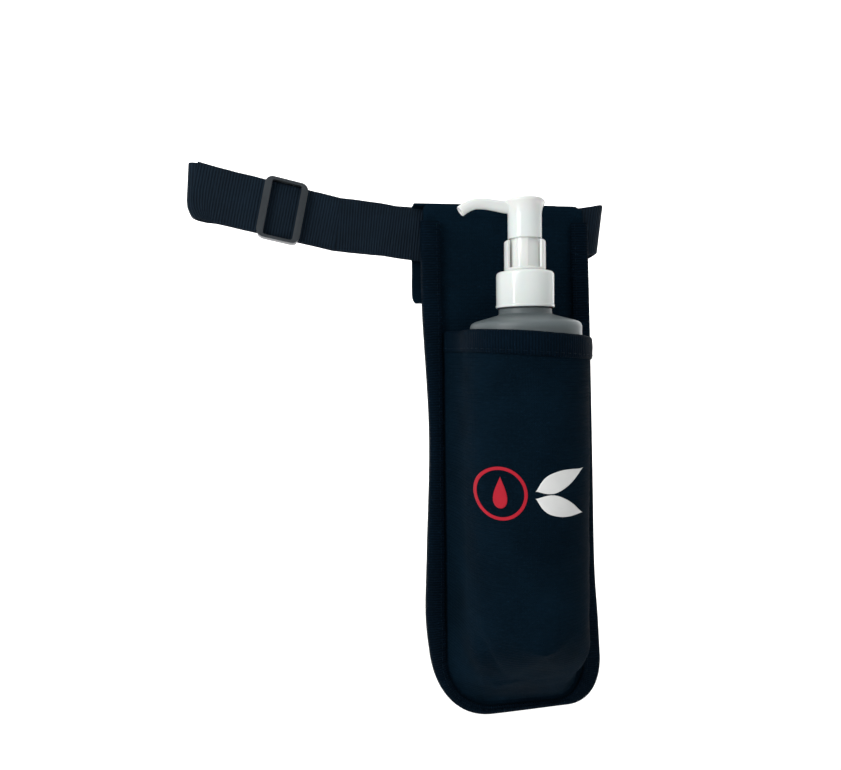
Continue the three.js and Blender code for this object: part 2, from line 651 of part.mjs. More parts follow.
function makeGuide() {
  const foot = CAP_TOP_Z - CAP_PLATE;
  const bodyOfGuide = toSolid(turned([
    [STEM_R + 0.7, foot - 5.2], [BARREL_BORE_R - GAP, foot - 5.2], [BARREL_BORE_R - GAP, foot],
    [GUIDE_R, foot], [GUIDE_R, GUIDE_TOP_Z - 0.5], [GUIDE_R - 0.5, GUIDE_TOP_Z],
    [GUIDE_R - 2.4, GUIDE_TOP_Z], [GUIDE_R - 2.4, foot + 3], [STEM_R + 0.7, foot + 2],
    [STEM_R + 0.7, foot - 5.2],
  ], 32));
  const facing = THREE.MathUtils.degToRad(GUARD_WINDOW_AT_DEG + 38);
  const recess = toSolid(box(GUIDE_R - 0.7, 12, -3.4, 3.4, CAP_TOP_Z + 2.2, GUIDE_TOP_Z + 5).rotateZ(facing));
  return bodyOfGuide.subtract(recess);
}
addSolid('stem_guide', makeGuide(), whiteFinish);

function makeHousing() {
  const flangeZ = CAP_TOP_Z - CAP_PLATE - GAP - 1.0;
  return turned([
    [DIP_TUBE_R + GAP, SOCKET_BOTTOM_Z], [DIP_TUBE_R + 1.4, SOCKET_BOTTOM_Z],
    [CHAMBER_BORE_R + 0.9, SEAT_Z], [CHAMBER_BORE_R + 0.9, BARREL_FLOOR_Z - 1.5],
    [BARREL_R, BARREL_FLOOR_Z], [BARREL_R, flangeZ], [NECK_R - 0.2, flangeZ],
    [NECK_R - 0.2, flangeZ + 0.8], [BARREL_BORE_R, flangeZ + 0.8], [BARREL_BORE_R, BARREL_FLOOR_Z],
    [CHAMBER_BORE_R, BARREL_FLOOR_Z], [CHAMBER_BORE_R, SEAT_Z], [SEAT_BORE_R, SEAT_Z],
    [SEAT_BORE_R, SEAT_Z - 1.3], [DIP_TUBE_R + GAP, SEAT_Z - 1.3], [DIP_TUBE_R + GAP, SOCKET_BOTTOM_Z],
  ], 24);
}
addNode('pump_housing', weld(makeHousing()), clearFinish);

const gasket = ring(BARREL_R + GAP, NECK_R, NECK_TOP_Z + GAP, NECK_TOP_Z + 1.2, 28);
addNode('neck_gasket', weld(gasket), finish(0xd8d8d4, 0.8));

addNode('dip_tube', weld(ring(DIP_TUBE_R - 0.6, DIP_TUBE_R, 5.5, SEAT_Z - 1.3 - GAP, 16)), clearFinish);

const ballZ = SEAT_Z + Math.sqrt(BALL_R ** 2 - SEAT_BORE_R ** 2) + 0.2;
addNode('inlet_ball', weld(new THREE.SphereGeometry(BALL_R, 12, 8)), steelFinish).position.z = ballZ;

function makeSpring() {
  const low = BARREL_FLOOR_Z + GAP + WIRE_D / 2;
  const high = PISTON_BOTTOM_Z - GAP - WIRE_D / 2;
  const points = [];
  const stepsPerTurn = 10;
  for (let i = 0; i <= SPRING_TURNS * stepsPerTurn; i += 1) {
    const angle = (i / stepsPerTurn) * Math.PI * 2;
    const z = THREE.MathUtils.lerp(low, high, i / (SPRING_TURNS * stepsPerTurn));
    points.push(new THREE.Vector3(SPRING_R * Math.cos(angle), SPRING_R * Math.sin(angle), z));
  }
  return tube(new THREE.CatmullRomCurve3(points), WIRE_D / 2, points.length - 1, 6);
}
addNode('return_spring', weld(makeSpring()), steelFinish);

const stemBottomZ = PISTON_BOTTOM_Z + 1.5;
const STEM_TOP_Z = 187;
addNode('pump_stem', weld(ring(STEM_BORE_R, STEM_R, stemBottomZ, STEM_TOP_Z, 24)), whiteFinish);

function makePiston() {
  const r = BARREL_BORE_R - GAP;
  const bore = STEM_R + GAP;
  return turned([
    [bore - 1.1, PISTON_BOTTOM_Z], [r - 0.8, PISTON_BOTTOM_Z], [r, PISTON_BOTTOM_Z + 0.6],
    [r, PISTON_BOTTOM_Z + 1.8], [r - 0.8, PISTON_BOTTOM_Z + 2.4], [r - 0.8, PISTON_TOP_Z - 2.4],
    [r, PISTON_TOP_Z - 1.6], [r, PISTON_TOP_Z], [r - 0.6, PISTON_TOP_Z], [bore + 0.8, PISTON_TOP_Z - 1.4],
    [bore, PISTON_TOP_Z - 1.4], [bore, stemBottomZ - GAP], [bore - 1.1, stemBottomZ - GAP],
    [bore - 1.1, PISTON_BOTTOM_Z],
  ], 20);
}
addNode('pump_piston', weld(makePiston()), clearFinish);

function makeHead() {
  const roofZ = 188.6;
  const body = toSolid(turned([
    [0, roofZ], [SKIRT_INNER_R - 0.6, roofZ], [SKIRT_INNER_R, roofZ - 1.5], [SKIRT_INNER_R, SKIRT_BOTTOM_Z],
    [SKIRT_R, SKIRT_BOTTOM_Z], [SKIRT_R, 188], [SKIRT_R + 0.25, 190], [SKIRT_R + 0.75, 191.6],
    [HEAD_FLARE_R, 193.2], [HEAD_FLARE_R, HEAD_RIM_Z], [HEAD_FLARE_R - 0.6, HEAD_RIM_Z + 0.6],
    [HEAD_FLARE_R - 3, HEAD_TOP_Z - 0.5], [4, HEAD_TOP_Z - 0.1], [0, HEAD_TOP_Z],
  ], 36));
  const boss = toSolid(rod(STEM_R + GAP + 1, 182.5, roofZ + 1, 20));
  const socket = toSolid(rod(STEM_R + GAP, 170, STEM_TOP_Z + GAP, 20));
  const route = new THREE.CatmullRomCurve3([
    [0, 191.2], [-8, 191.3], [-13, 192.0], [-18, 192.6], [-22.6, 192.5], [-26.4, 191.1], [-29.5, 189.0],
  ].map(([x, z]) => new THREE.Vector3(x, 0, z)));
  const arm = toSolid(tube(route, SPOUT_R, 14, 12));
  const boreRoute = new THREE.CatmullRomCurve3([
    [0.4, 191.2], [-8, 191.3], [-13, 192.0], [-18, 192.6], [-22.6, 192.5], [-26.4, 191.1], [-31.5, 187.5],
  ].map(([x, z]) => new THREE.Vector3(x, 0, z)));
  const bore = toSolid(tube(boreRoute, SPOUT_BORE_R, 14, 8));
  const riser = toSolid(rod(SPOUT_BORE_R, STEM_TOP_Z - 1, 191.2, 10));
  return body.add(boss).add(arm).subtract(socket).subtract(bore).subtract(riser);
}
addSolid('pump_head', makeHead(), whiteFinish);

// ---- origin at the middle of the back panel's rear face ----

assembly.position.set(0, -PANEL_REAR_Y, -MOUNT_Z);
const group = new THREE.Group();
group.add(assembly);

export default group;
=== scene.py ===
import math

import bmesh
import bpy
import numpy as np
from mathutils import Matrix, Vector, noise


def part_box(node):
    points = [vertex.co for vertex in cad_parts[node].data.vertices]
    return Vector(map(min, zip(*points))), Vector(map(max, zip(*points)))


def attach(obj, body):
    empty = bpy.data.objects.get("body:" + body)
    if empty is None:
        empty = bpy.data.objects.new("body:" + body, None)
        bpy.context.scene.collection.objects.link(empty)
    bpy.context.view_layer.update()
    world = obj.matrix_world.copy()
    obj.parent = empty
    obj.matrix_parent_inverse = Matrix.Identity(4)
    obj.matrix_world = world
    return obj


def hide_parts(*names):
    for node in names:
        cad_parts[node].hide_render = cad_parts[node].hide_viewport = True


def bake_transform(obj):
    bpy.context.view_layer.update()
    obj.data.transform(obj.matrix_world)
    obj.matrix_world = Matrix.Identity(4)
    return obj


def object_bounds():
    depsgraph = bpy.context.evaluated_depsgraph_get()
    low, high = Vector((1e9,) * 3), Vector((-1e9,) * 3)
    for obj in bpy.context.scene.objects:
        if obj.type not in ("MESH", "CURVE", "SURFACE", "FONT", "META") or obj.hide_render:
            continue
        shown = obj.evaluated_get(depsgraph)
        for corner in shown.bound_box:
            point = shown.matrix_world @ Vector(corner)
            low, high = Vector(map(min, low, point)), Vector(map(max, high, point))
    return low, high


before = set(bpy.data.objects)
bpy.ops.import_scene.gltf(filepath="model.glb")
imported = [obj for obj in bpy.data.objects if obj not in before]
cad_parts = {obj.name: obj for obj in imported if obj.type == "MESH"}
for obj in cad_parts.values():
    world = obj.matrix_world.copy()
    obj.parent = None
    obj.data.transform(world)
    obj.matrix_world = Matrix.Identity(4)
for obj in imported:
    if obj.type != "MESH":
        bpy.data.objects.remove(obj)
CAD_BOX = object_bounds()
MM = 0.001

# the bottle's axis and base, which every shape is drawn about, in millimetres
bottle_low, bottle_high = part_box("bottle")
AXIS = Vector(((bottle_low.x + bottle_high.x) / 2, (bottle_low.y + bottle_high.y) / 2, bottle_low.z))


def place(p):
    return (AXIS.x + p[0] * MM, AXIS.y + p[1] * MM, AXIS.z + p[2] * MM)


def node_mm(name):
    low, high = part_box(name)
    return [tuple((c - a) / MM for c, a in zip(corner, AXIS)) for corner in (low, high)]


(_, PANEL_FRONT, _), (_, PANEL_REAR, PANEL_TOP) = node_mm("back_panel")
(FLAP_LEFT, _, FLAP_LOW), (FLAP_RIGHT, FLAP_REAR, FLAP_TOP) = node_mm("belt_sleeve_flap")
(_, TAPE_FRONT, _), (_, TAPE_REAR, TAPE_TOP) = node_mm("edge_binding")
FLAP_OPEN_X = 24.5
TAPE_WIDTH = 9.0
TAPE_THICK = 1.1
TAPE_RIB = 1.25
EDGE_INSET = 1.4
MOUTH_Z = 134.0
MOUTH_TILT = 0.07
CLOTH = 1.3
HEM_DEPTH = 9.4
HEM_RISE = 0.4
HEM_GAP = 0.35
POCKET_SIDE = 27.0
POCKET_FRONT = 26.2
POCKET_SEAM = 32.4
SEAM_Y = 25.3
FLOOR_FRONT_Z = -0.7
FLOOR_REAR_Z = -46.5
SIDE_DEPTHS = (21.5, 19, 16, 13, 10, 7, 4, 2)
MOUTH_DEPTHS = (21.4, *SIDE_DEPTHS[1:])


# ---- meshes ----

def link(name, data):
    obj = bpy.data.objects.new(name, data)
    bpy.context.scene.collection.objects.link(obj)
    return obj


def smooth_faces(obj):
    for polygon in obj.data.polygons:
        polygon.use_smooth = True
    return obj


def make(name, verts, faces, uv=None):
    mesh = bpy.data.meshes.new(name)
    mesh.from_pydata([place(v) for v in verts], [], faces)
    if uv is not None:
        layer = mesh.uv_layers.new(name="UVMap")
        coords = np.array([uv[i] for face in faces for i in face], np.float32).reshape(-1)
        layer.data.foreach_set("uv", coords)
    bm = bmesh.new()
    bm.from_mesh(mesh)
    bmesh.ops.remove_doubles(bm, verts=bm.verts, dist=1e-6)
    bmesh.ops.recalc_face_normals(bm, faces=bm.faces)
    bm.to_mesh(mesh)
    bm.free()
    return smooth_faces(link(name, mesh))


def modify(obj, kind, **settings):
    modifier = obj.modifiers.new(kind.title(), kind)
    for key, value in settings.items():
        setattr(modifier, key, value)
    graph = bpy.context.evaluated_depsgraph_get()
    mesh = bpy.data.meshes.new_from_object(obj.evaluated_get(graph))
    obj.modifiers.clear()
    obj.data = mesh


def sharp(obj, degrees):
    obj.data.set_sharp_from_angle(angle=math.radians(degrees))
    return obj


# the faces between rows of equally many points, numbered from `start`; `closed` rows are rings
def quads(rows, columns, closed=False, start=0):
    faces = []
    for r in range(rows - 1):
        low = start + r * columns
        high = low + columns
        for i in range(columns if closed else columns - 1):
            j = (i + 1) % columns
            faces.append((low + i, low + j, high + j, high + i))
    return faces


# rings of equally many points joined into one skin, with both ends capped
def skin(name, rings, uv=None):
    count = len(rings[0])
    faces = quads(len(rings), count, True)
    faces.append(tuple(range(count))[::-1])
    faces.append(tuple((len(rings) - 1) * count + i for i in range(count)))
    return make(name, [p for ring in rings for p in ring], faces, uv)


# a profile whose corners are rounded, each within `round_by` of its point
def rounded(profile, round_by):
    steps = 4
    corners = [Vector(p) for p in profile]
    points = [profile[0]]
    for before, here, after in zip(corners, corners[1:], corners[2:]):
        reach = min(round_by, (before - here).length * 0.45, (after - here).length * 0.45)
        a = here + (before - here).normalized() * reach
        b = here + (after - here).normalized() * reach
        for k in range(steps + 1):
            t = k / steps
            q = a * (1 - t) ** 2 + here * 2 * t * (1 - t) + b * t ** 2
            points.append((q.x, q.y))
    return points + [profile[-1]]


# a profile of (radius, height) turned about the bottle's axis
def lathe(name, profile, round_by, segments):
    points = rounded(profile, round_by)
    closed = profile[0] == profile[-1]
    if closed:
        points.pop()
    verts = []
    faces = []
    n = len(points)
    for s in range(segments):
        angle = s / segments * math.tau
        verts += [(radius * math.cos(angle), radius * math.sin(angle), height) for radius, height in points]
        t = (s + 1) % segments
        for i in range(n if closed else n - 1):
            j = (i + 1) % n
            faces.append((s * n + i, t * n + i, t * n + j, s * n + j))
    return make(name, verts, faces)


def smoothstep(t):
    t = max(0.0, min(1.0, t))
    return t * t * (3 - 2 * t)


def lerp(a, b, t):
    return a + (b - a) * t


# catmull-rom curve through points, as the CAD outline uses
def spline(points, steps):
    pts = [np.array(p, float) for p in points]
    out = []
    for s in range(steps):
        t = s / steps * (len(pts) - 1)
        i = int(t)
        w = t - i
        p0, p1, p2, p3 = (pts[max(0, min(len(pts) - 1, k))] for k in (i - 1, i, i + 1, i + 2))
        v0, v1 = (p2 - p0) * 0.5, (p3 - p1) * 0.5
        cubic = (2 * p1 - 2 * p2 + v0 + v1) * w ** 3
        out.append(cubic + (-3 * p1 + 3 * p2 - 2 * v0 - v1) * w ** 2 + v0 * w + p1)
    return out


def bezier(a, b, c, d, steps):
    a, b, c, d = (np.array(p, float) for p in (a, b, c, d))
    out = []
    for s in range(steps):
        t = s / steps
        out.append(a * (1 - t) ** 3 + b * 3 * t * (1 - t) ** 2 + c * 3 * t * t * (1 - t) + d * t ** 3)
    return out


# how far along a run of points each one lies
def distances(points):
    return np.concatenate([[0], np.cumsum(np.linalg.norm(np.diff(points, axis=0), axis=1))])


def sample(points, run, at):
    return np.stack([np.interp(at, run, points[:, k]) for k in range(points.shape[1])], -1)


def resample(points, count):
    pts = np.array(points, float)
    run = distances(pts)
    return sample(pts, run, np.linspace(0, run[-1], count))


def outline(count):
    raw = spline([(-43.6, PANEL_TOP), (-43.4, 150), (-40.6, 88), (-42.4, 30), (-43.4, -2), (-41.6, -22)], 60)
    raw += bezier((-41.6, -22), (-38.6, -43), (-26, -53.9), (-11, -53.6), 40)
    raw += bezier((-11, -53.6), (2, -53.3), (18, -52.5), (28, -52.2), 24)
    raw += bezier((28, -52.2), (39.4, -51.8), (45.6, -43), (45.7, -29), 30)
    raw += spline([(45.7, -29), (44.6, -8), (42.8, 20), (41.9, 70), (40.7, 135), (39.2, PANEL_TOP)], 60)
    raw.append(np.array((39.2, PANEL_TOP)))
    return resample(raw, count)


# the outward direction at each point of an open run of points, in X and Z
def outward(points):
    run = np.gradient(points, axis=0)
    run /= np.linalg.norm(run, axis=1)[:, None]
    return np.stack([run[:, 1], -run[:, 0]], 1)


# ---- cloth relief: how far the cloth stands out from its plain shape ----

def crease(x, z, start, end, width, height):
    ax, az = start
    bx, bz = end
    length = math.hypot(bx - ax, bz - az)
    t = ((x - ax) * (bx - ax) + (z - az) * (bz - az)) / length ** 2
    across = ((x - ax) * (bz - az) - (z - az) * (bx - ax)) / length
    if t < -0.3 or t > 1.3:
        return 0.0
    fade = smoothstep((t + 0.25) / 0.4) * smoothstep((1.25 - t) / 0.4)
    return height * fade * math.exp(-((across / width) ** 2))


def ripple(p, scale, height, seed):
    return height * noise.noise(Vector((p[0] / scale + seed, p[1] / scale - seed, p[2] / scale)))


def pocket_relief(p):
    x, y, z = p
    lift = ripple(p, 34, 0.55, 3.1) + ripple(p, 13, 0.22, 7.7)
    low = smoothstep((18 - z) / 40)
    lift += low * (ripple(p, 24, 0.55, 12.3) + ripple(p, 8, 0.12, 5.2))
    if y < 20:
        lift += crease(x, z, (-25.5, 2), (-14, -20), 2.0, -1.3)
        lift += crease(x, z, (-26, -6), (-17, -32), 2.6, 1.1)
        lift += crease(x, z, (-21, -8), (-14, -28), 1.4, -0.7)
        lift += crease(x, z, (26, -6), (22, -30), 3.0, 0.5)
        lift += crease(x, z, (-27, 118), (-25.5, 70), 3.0, 0.4)
    return lift


# ---- the pocket ----

def half_width(y, offset):
    side = POCKET_SIDE + offset
    if y >= 0:
        return side + (POCKET_SEAM - POCKET_SIDE) * (y / PANEL_FRONT) ** 2
    return side * math.sqrt(max(0.0, 1 - (y / (POCKET_FRONT + offset)) ** 2))


def floor_height(y, offset):
    slope = (FLOOR_FRONT_Z - FLOOR_REAR_Z) / (POCKET_FRONT + PANEL_FRONT)
    return FLOOR_REAR_Z + (PANEL_FRONT - y) * slope - offset * math.sqrt(2)


# the pocket's U at one depth: down the left wall, along the floor and up the right wall
def u_section(y):
    wall, arc, base = 64, 12, 26
    half = half_width(y, CLOTH)
    low = floor_height(y, CLOTH)
    depth = (PANEL_FRONT - y) / (PANEL_FRONT + POCKET_FRONT)
    left = min(half * 0.96, 24 - 8 * depth)
    right = min(half * 0.96, 12 + 2 * depth)
    top_left, top_right = MOUTH_Z + MOUTH_TILT * half, MOUTH_Z - MOUTH_TILT * half
    points = [(-half, y, lerp(top_left, low + left, i / wall)) for i in range(wall)]
    for i in range(arc):
        a = math.pi + i / arc * math.pi / 2
        points.append((left - half + left * math.cos(a), y, low + left + left * math.sin(a)))
    points += [(lerp(left - half, half - right, i / base), y, low) for i in range(base)]
    for i in range(arc):
        a = math.pi * 1.5 + i / arc * math.pi / 2
        points.append((half - right + right * math.cos(a), y, low + right + right * math.sin(a)))
    return points + [(half, y, lerp(low + right, top_right, i / wall)) for i in range(wall + 1)]


def smooth_verts(verts, faces, weight, rounds):
    count = len(verts)
    near = [set() for _ in range(count)]
    for face in faces:
        for i, a in enumerate(face):
            b = face[(i + 1) % len(face)]
            near[a].add(b)
            near[b].add(a)
    co = np.array(verts, float)
    w = np.array(weight)[:, None]
    rows = np.repeat(np.arange(count), [len(s) for s in near])
    cols = np.array([b for s in near for b in sorted(s)])
    total = np.array([max(1, len(s)) for s in near])[:, None]
    for _ in range(rounds):
        mean = np.zeros_like(co)
        np.add.at(mean, rows, co[cols])
        co += (mean / total - co) * w
    return co


def make_pocket():
    seam = u_section(SEAM_Y - 0.6)
    out = outward(np.array([(p[0], p[2]) for p in seam]))
    rings = []
    for reach in (4.2, 3.0, 1.8, 0.9, 0.35):
        rings.append([(p[0] + o[0] * reach, SEAM_Y - 0.65, p[2] + o[1] * reach) for p, o in zip(seam, out)])
    rings += [u_section(y) for y in (SEAM_Y - 0.9, 23.4, *SIDE_DEPTHS)]
    for k in range(33):
        rings.append(u_section(-(POCKET_FRONT + CLOTH) * math.sin(math.radians(k / 32 * 89.0))))
    count = len(rings[0])
    faces = quads(len(rings), count)
    # the front edge, where the last ring's two walls meet
    last = (len(rings) - 1) * count
    for i in range(count // 2 - 1):
        faces.append((last + i, last + i + 1, last + count - 2 - i, last + count - 1 - i))
    bm = bmesh.new()
    made = [bm.verts.new(p) for ring in rings for p in ring]
    for face in faces:
        bm.faces.new([made[i] for i in face])
    bmesh.ops.remove_doubles(bm, verts=bm.verts, dist=0.02)
    bmesh.ops.dissolve_degenerate(bm, dist=0.01, edges=bm.edges)
    bmesh.ops.recalc_face_normals(bm, faces=bm.faces)
    bm.verts.ensure_lookup_table()
    bm.verts.index_update()
    co = np.array([v.co for v in bm.verts])
    sides = [[v.index for v in face.verts] for face in bm.faces]
    weight = [0.5 * smoothstep((26 - p[2]) / 22) * smoothstep((SEAM_Y - 1.2 - p[1]) / 3) for p in co]
    co = smooth_verts(co, sides, weight, 14)
    for v, p in zip(bm.verts, co):
        v.co = p
    bm.normal_update()
    for v in bm.verts:
        p = v.co.copy()
        hold = smoothstep((SEAM_Y - 1.0 - p.y) / 6) * smoothstep((MOUTH_Z + 1 - p.z) / 8)
        shift = v.normal * (pocket_relief(p) * hold)
        v.co = place(p + (shift if v.normal.dot(Vector((p.x, p.y, 0))) > -1 else -shift))
    middle = sum(v.normal.dot(Vector((v.co.x, v.co.y, 0))) for v in bm.verts)
    if middle < 0:
        bmesh.ops.reverse_faces(bm, faces=bm.faces)
    mesh = bpy.data.meshes.new("pocket_cloth")
    bm.to_mesh(mesh)
    bm.free()
    obj = smooth_faces(link("pocket_cloth", mesh))
    modify(obj, "SOLIDIFY", thickness=(CLOTH - 0.2) * MM, offset=-1.0)
    return obj


# a point on the pocket's outer cloth: `angle` about the bottle's axis, `z` up
def on_pocket(angle, z, lift):
    side, front = POCKET_SIDE + CLOTH, POCKET_FRONT + CLOTH
    x, y = side * math.cos(angle), front * math.sin(angle)
    n = Vector((math.cos(angle) / side, math.sin(angle) / front, 0)).normalized()
    p = Vector((x, y, z))
    return p + n * (pocket_relief(p) + lift), n


# ---- hem band round the pocket's mouth ----

def mouth_line(offset, count):
    points = [(-half_width(y, offset), y) for y in MOUTH_DEPTHS]
    for k in range(97):
        a = math.pi + k / 96 * math.pi
        points.append(((POCKET_SIDE + offset) * math.cos(a), (POCKET_FRONT + offset) * math.sin(a)))
    points += [(half_width(y, offset), y) for y in MOUTH_DEPTHS[::-1]]
    return resample(points, count)


def make_hem():
    line = mouth_line(CLOTH + HEM_GAP, 420)
    section = [(0.0, -HEM_DEPTH - 0.3), (0.45, -HEM_DEPTH), (0.85, -HEM_DEPTH + 0.6), (0.9, -6.5),
               (1.0, -4.4), (0.9, -2.2), (0.8, -0.6), (0.4, 0.1), (-0.4, 0.42),
               (-1.3, 0.4), (-2.1, 0.0), (-2.45, -0.8),
               (-2.45, -4.0), (-2.4, -HEM_DEPTH + 0.5), (-1.95, -HEM_DEPTH + 0.2), (-1.95, -2.0),
               (-1.6, -0.7), (-0.4, -0.65), (-0.05, -1.2)]
    rings = []
    uv = []
    for (x, y), (nx, ny), s in zip(line, outward(line), distances(line)):
        top = MOUTH_Z + HEM_RISE - MOUTH_TILT * x
        wave = 0.25 * noise.noise(Vector((s / 14, 2.0, 0)))
        sway = 0.3 * noise.noise(Vector((s / 22, 9, 0)))
        ring = []
        for (o, h), v in zip(section, distances(np.array(section))):
            reach = o + (wave if h < -1 and o > 0 else 0.0)
            ring.append((x + nx * reach, y + ny * reach, top + h + sway))
            uv.append((s * MM, v * MM))
        rings.append(ring)
    return skin("pocket_hem", rings, uv)


# ---- edge tape ----

def in_pocket(x, z):
    offset = CLOTH + 0.5
    half = half_width(SEAM_Y, offset)
    low = floor_height(SEAM_Y, offset)
    if abs(x) > half or z < low or z > MOUTH_Z + 3 - MOUTH_TILT * x:
        return False
    for r, side in ((24.0, -1), (12.0, 1)):
        cx = side * (half - r)
        if (x - cx) * side > 0 and z < low + r and math.hypot(x - cx, z - low - r) > r:
            return False
    return True


# the tape's run, the way out of it, and how wide it can be in front before it meets the pocket
def tape_run(count, top, step):
    line = outline(count)
    out = outward(line)
    keep = line[:, 1] < top
    line, out = line[keep], out[keep]
    widths = []
    for (x, z), (nx, nz) in zip(line, out):
        w = TAPE_WIDTH
        while w > 3 and in_pocket(x - nx * w, z - nz * w):
            w -= step
        widths.append(w)
    return line, out, widths


def make_tape():
    line, out, widths = tape_run(1500, TAPE_TOP, 0.1)
    kernel = np.hanning(41) / np.hanning(41).sum()
    smooth = np.convolve(np.pad(widths, 20, mode="edge"), kernel, mode="valid")
    front, rear, t = TAPE_FRONT, TAPE_REAR, TAPE_THICK
    rings = []
    uv = []
    for (x, z), (nx, nz), w, s in zip(line, out, np.minimum(smooth, widths), distances(line)):
        rib = 0.11 * math.cos(s * math.tau / TAPE_RIB)
        wave = 0.3 * noise.noise(Vector((s / 11, 4.0, 0)))
        edge = 0.25 * noise.noise(Vector((s / 16, 8.0, 0)))
        wf, wr = w + edge, TAPE_WIDTH + edge
        section = [
            (wf, front + t * 0.9), (wf, front + 0.45), (wf - 0.4, front + 0.12 - rib),
            (wf * 0.6, front - rib + wave * 0.4), (3.2, front - 0.12 - rib), (1.7, front + 0.1 - rib),
            (0.75, front + 0.55), (0.2, front + 1.3), (-rib, front + 2.5), (-rib, rear - 2.5),
            (0.2, rear - 1.3), (0.75, rear - 0.55), (1.7, rear - 0.1 + rib), (3.2, rear - 0.05 + rib),
            (wr * 0.6, rear + rib - wave * 0.3), (wr - 0.4, rear - 0.12 + rib), (wr, rear - 0.45),
            (wr, rear - t * 0.9), (wr - 1.2, rear - t), (t + 1.5, rear - t), (t + 0.5, rear - t - 0.5),
            (t, rear - 2.6), (t, front + 2.6), (t + 0.5, front + t + 0.5), (t + 1.5, front + t),
            (wf - 1.2, front + t),
        ]
        rings.append([(x - nx * a, y, z - nz * a) for a, y in section])
        uv += [(s * MM, v * MM) for v in distances(np.array(section))]
    return skin("edge_tape", rings, uv)


# ---- back panel ----

def side_limits(inset):
    line = outline(900)
    out = outward(line)
    moved = line - out * inset
    low = int(np.argmin(moved[:, 1]))
    return moved[: low + 1], moved[low:]


# the panel's left and right ends at one height, with its top corners rounded
def panel_ends(z, left, right):
    corner = 3.4
    drop = corner - math.sqrt(max(0.0, corner ** 2 - max(0.0, z - PANEL_TOP + corner) ** 2))
    return np.interp(-z, -left[:, 1], left[:, 0]) + drop * 0.6, np.interp(z, right[:, 1], right[:, 0]) - drop


def make_panel():
    left, right = side_limits(EDGE_INSET + 0.15)
    z_low = max(left[-1][1], right[0][1]) + 0.05
    rows, columns = 150, 64
    front, rear = [], []
    for r in range(rows + 1):
        z = lerp(z_low, PANEL_TOP, r / rows)
        a, b = panel_ends(z, left, right)
        for c in range(columns + 1):
            p = (lerp(a, b, c / columns), 0, z)
            edge = min(c, columns - c) / columns
            round_off = 1.2 * math.exp((z - PANEL_TOP) / 0.9) + 0.6 * math.exp(-edge * 90)
            swell = ripple(p, 22, 0.28, 1.4) + ripple(p, 9, 0.1, 6.0)
            front.append((p[0], PANEL_FRONT + round_off - swell * 0.7 + 0.12, z))
            rear.append((p[0], PANEL_REAR - round_off * 0.8 - abs(ripple(p, 16, 0.18, 2.2)), z))
    n = columns + 1
    total = (rows + 1) * n
    faces = quads(rows + 1, n)
    faces += [(total + a, total + d, total + c, total + b) for a, b, c, d in faces]
    for r in range(rows):
        faces.append((r * n, (r + 1) * n, total + (r + 1) * n, total + r * n))
        end = r * n + columns
        faces.append((end, total + end, total + end + n, end + n))
    for c in range(columns):
        faces.append((c, total + c, total + c + 1, c + 1))
        top = rows * n + c
        faces.append((top, top + 1, total + top + 1, total + top))
    return make("back_panel_cloth", front + rear, faces)


# ---- sleeve flap on the back panel ----

def make_flap():
    columns, near, far = 96, PANEL_REAR + 0.35, FLAP_REAR - 0.3
    path = [(near, FLAP_TOP - 1.0), (near + 0.5, FLAP_TOP - 0.25), (near + 1.8, FLAP_TOP - 0.05),
            (near + 3.0, FLAP_TOP - 0.15), (FLAP_REAR - 0.55, FLAP_TOP - 0.7), (far, FLAP_TOP - 2)]
    path += [(far, lerp(FLAP_TOP - 2, FLAP_LOW + 7, k / 36)) for k in range(1, 37)]
    path += [(FLAP_REAR - 0.5, FLAP_LOW + 5), (FLAP_REAR - 1.6, FLAP_LOW + 3.4), (near + 1.6, FLAP_LOW + 2.4),
             (near + 0.7, FLAP_LOW + 1.6), (near + 0.45, FLAP_LOW + 0.2)]
    corner = 3.2
    verts = []
    for y, z in path:
        top, low = FLAP_TOP - z, z - FLAP_LOW
        for c in range(columns + 1):
            u = c / columns
            x = lerp(FLAP_LEFT + 0.15, FLAP_RIGHT - 0.15, u)
            for distance in (top, low):
                if distance < corner:
                    drop = corner - math.sqrt(max(0.0, corner ** 2 - (corner - distance) ** 2))
                    x += drop * 0.55 * (1 - 2 * u) * abs(1 - 2 * u) ** 6
            p = (x, y, z)
            hold = smoothstep(top / 8) * smoothstep(low / 10)
            bend = hold * (ripple(p, 15, 0.35, 4.4) + ripple(p, 7, 0.12, 1.9))
            sway = 0.35 * noise.noise(Vector((z / 9, 3.3, u * 3))) * abs(1 - 2 * u) ** 4
            # the top's right end isn't joined to the panel, where the belt comes out
            free = y < FLAP_REAR - 1 and top < 2 and x > FLAP_OPEN_X
            edge_y, edge_z = (FLAP_REAR - 0.35, FLAP_TOP - 0.6) if free else (y, z)
            verts.append((x + sway, edge_y + min(0.25, bend) - 0.1, edge_z))
    obj = make("sleeve_flap_cloth", verts, quads(len(path), columns + 1))
    modify(obj, "SOLIDIFY", thickness=0.75 * MM, offset=0.0)
    return obj


# ---- belt ----

WEB_W = 25.0
WEB_T = 1.2
TUNNEL_Y = 31.25
BELT_RISE = 0.212
BELT_FORWARD = 0.07
HANK_LAYERS = 9
HANK_PITCH = 1.6
HANK_FIRST_Y = 35.5
HANK_HALF = 37.0
HANK_Z = 185.5
TURN_X = 43.0
TURN_Z = 187.4
TURN_REACH = 8.0
FOLD_S = -39.2
LAYER_N = 2.6
REAR_N = 8.2
REAR_LIFT = 0.9
RUN_END_S = 26.0
SLIDER_AT = Vector((-108.5, TUNNEL_Y - BELT_FORWARD * (108.5 - 48.3), 194.0))
ALONG = Vector((1, BELT_FORWARD, -BELT_RISE)).normalized()
ACROSS = (Vector((0, 0, 1)) - ALONG * ALONG.z).normalized()
THROUGH = ACROSS.cross(ALONG)


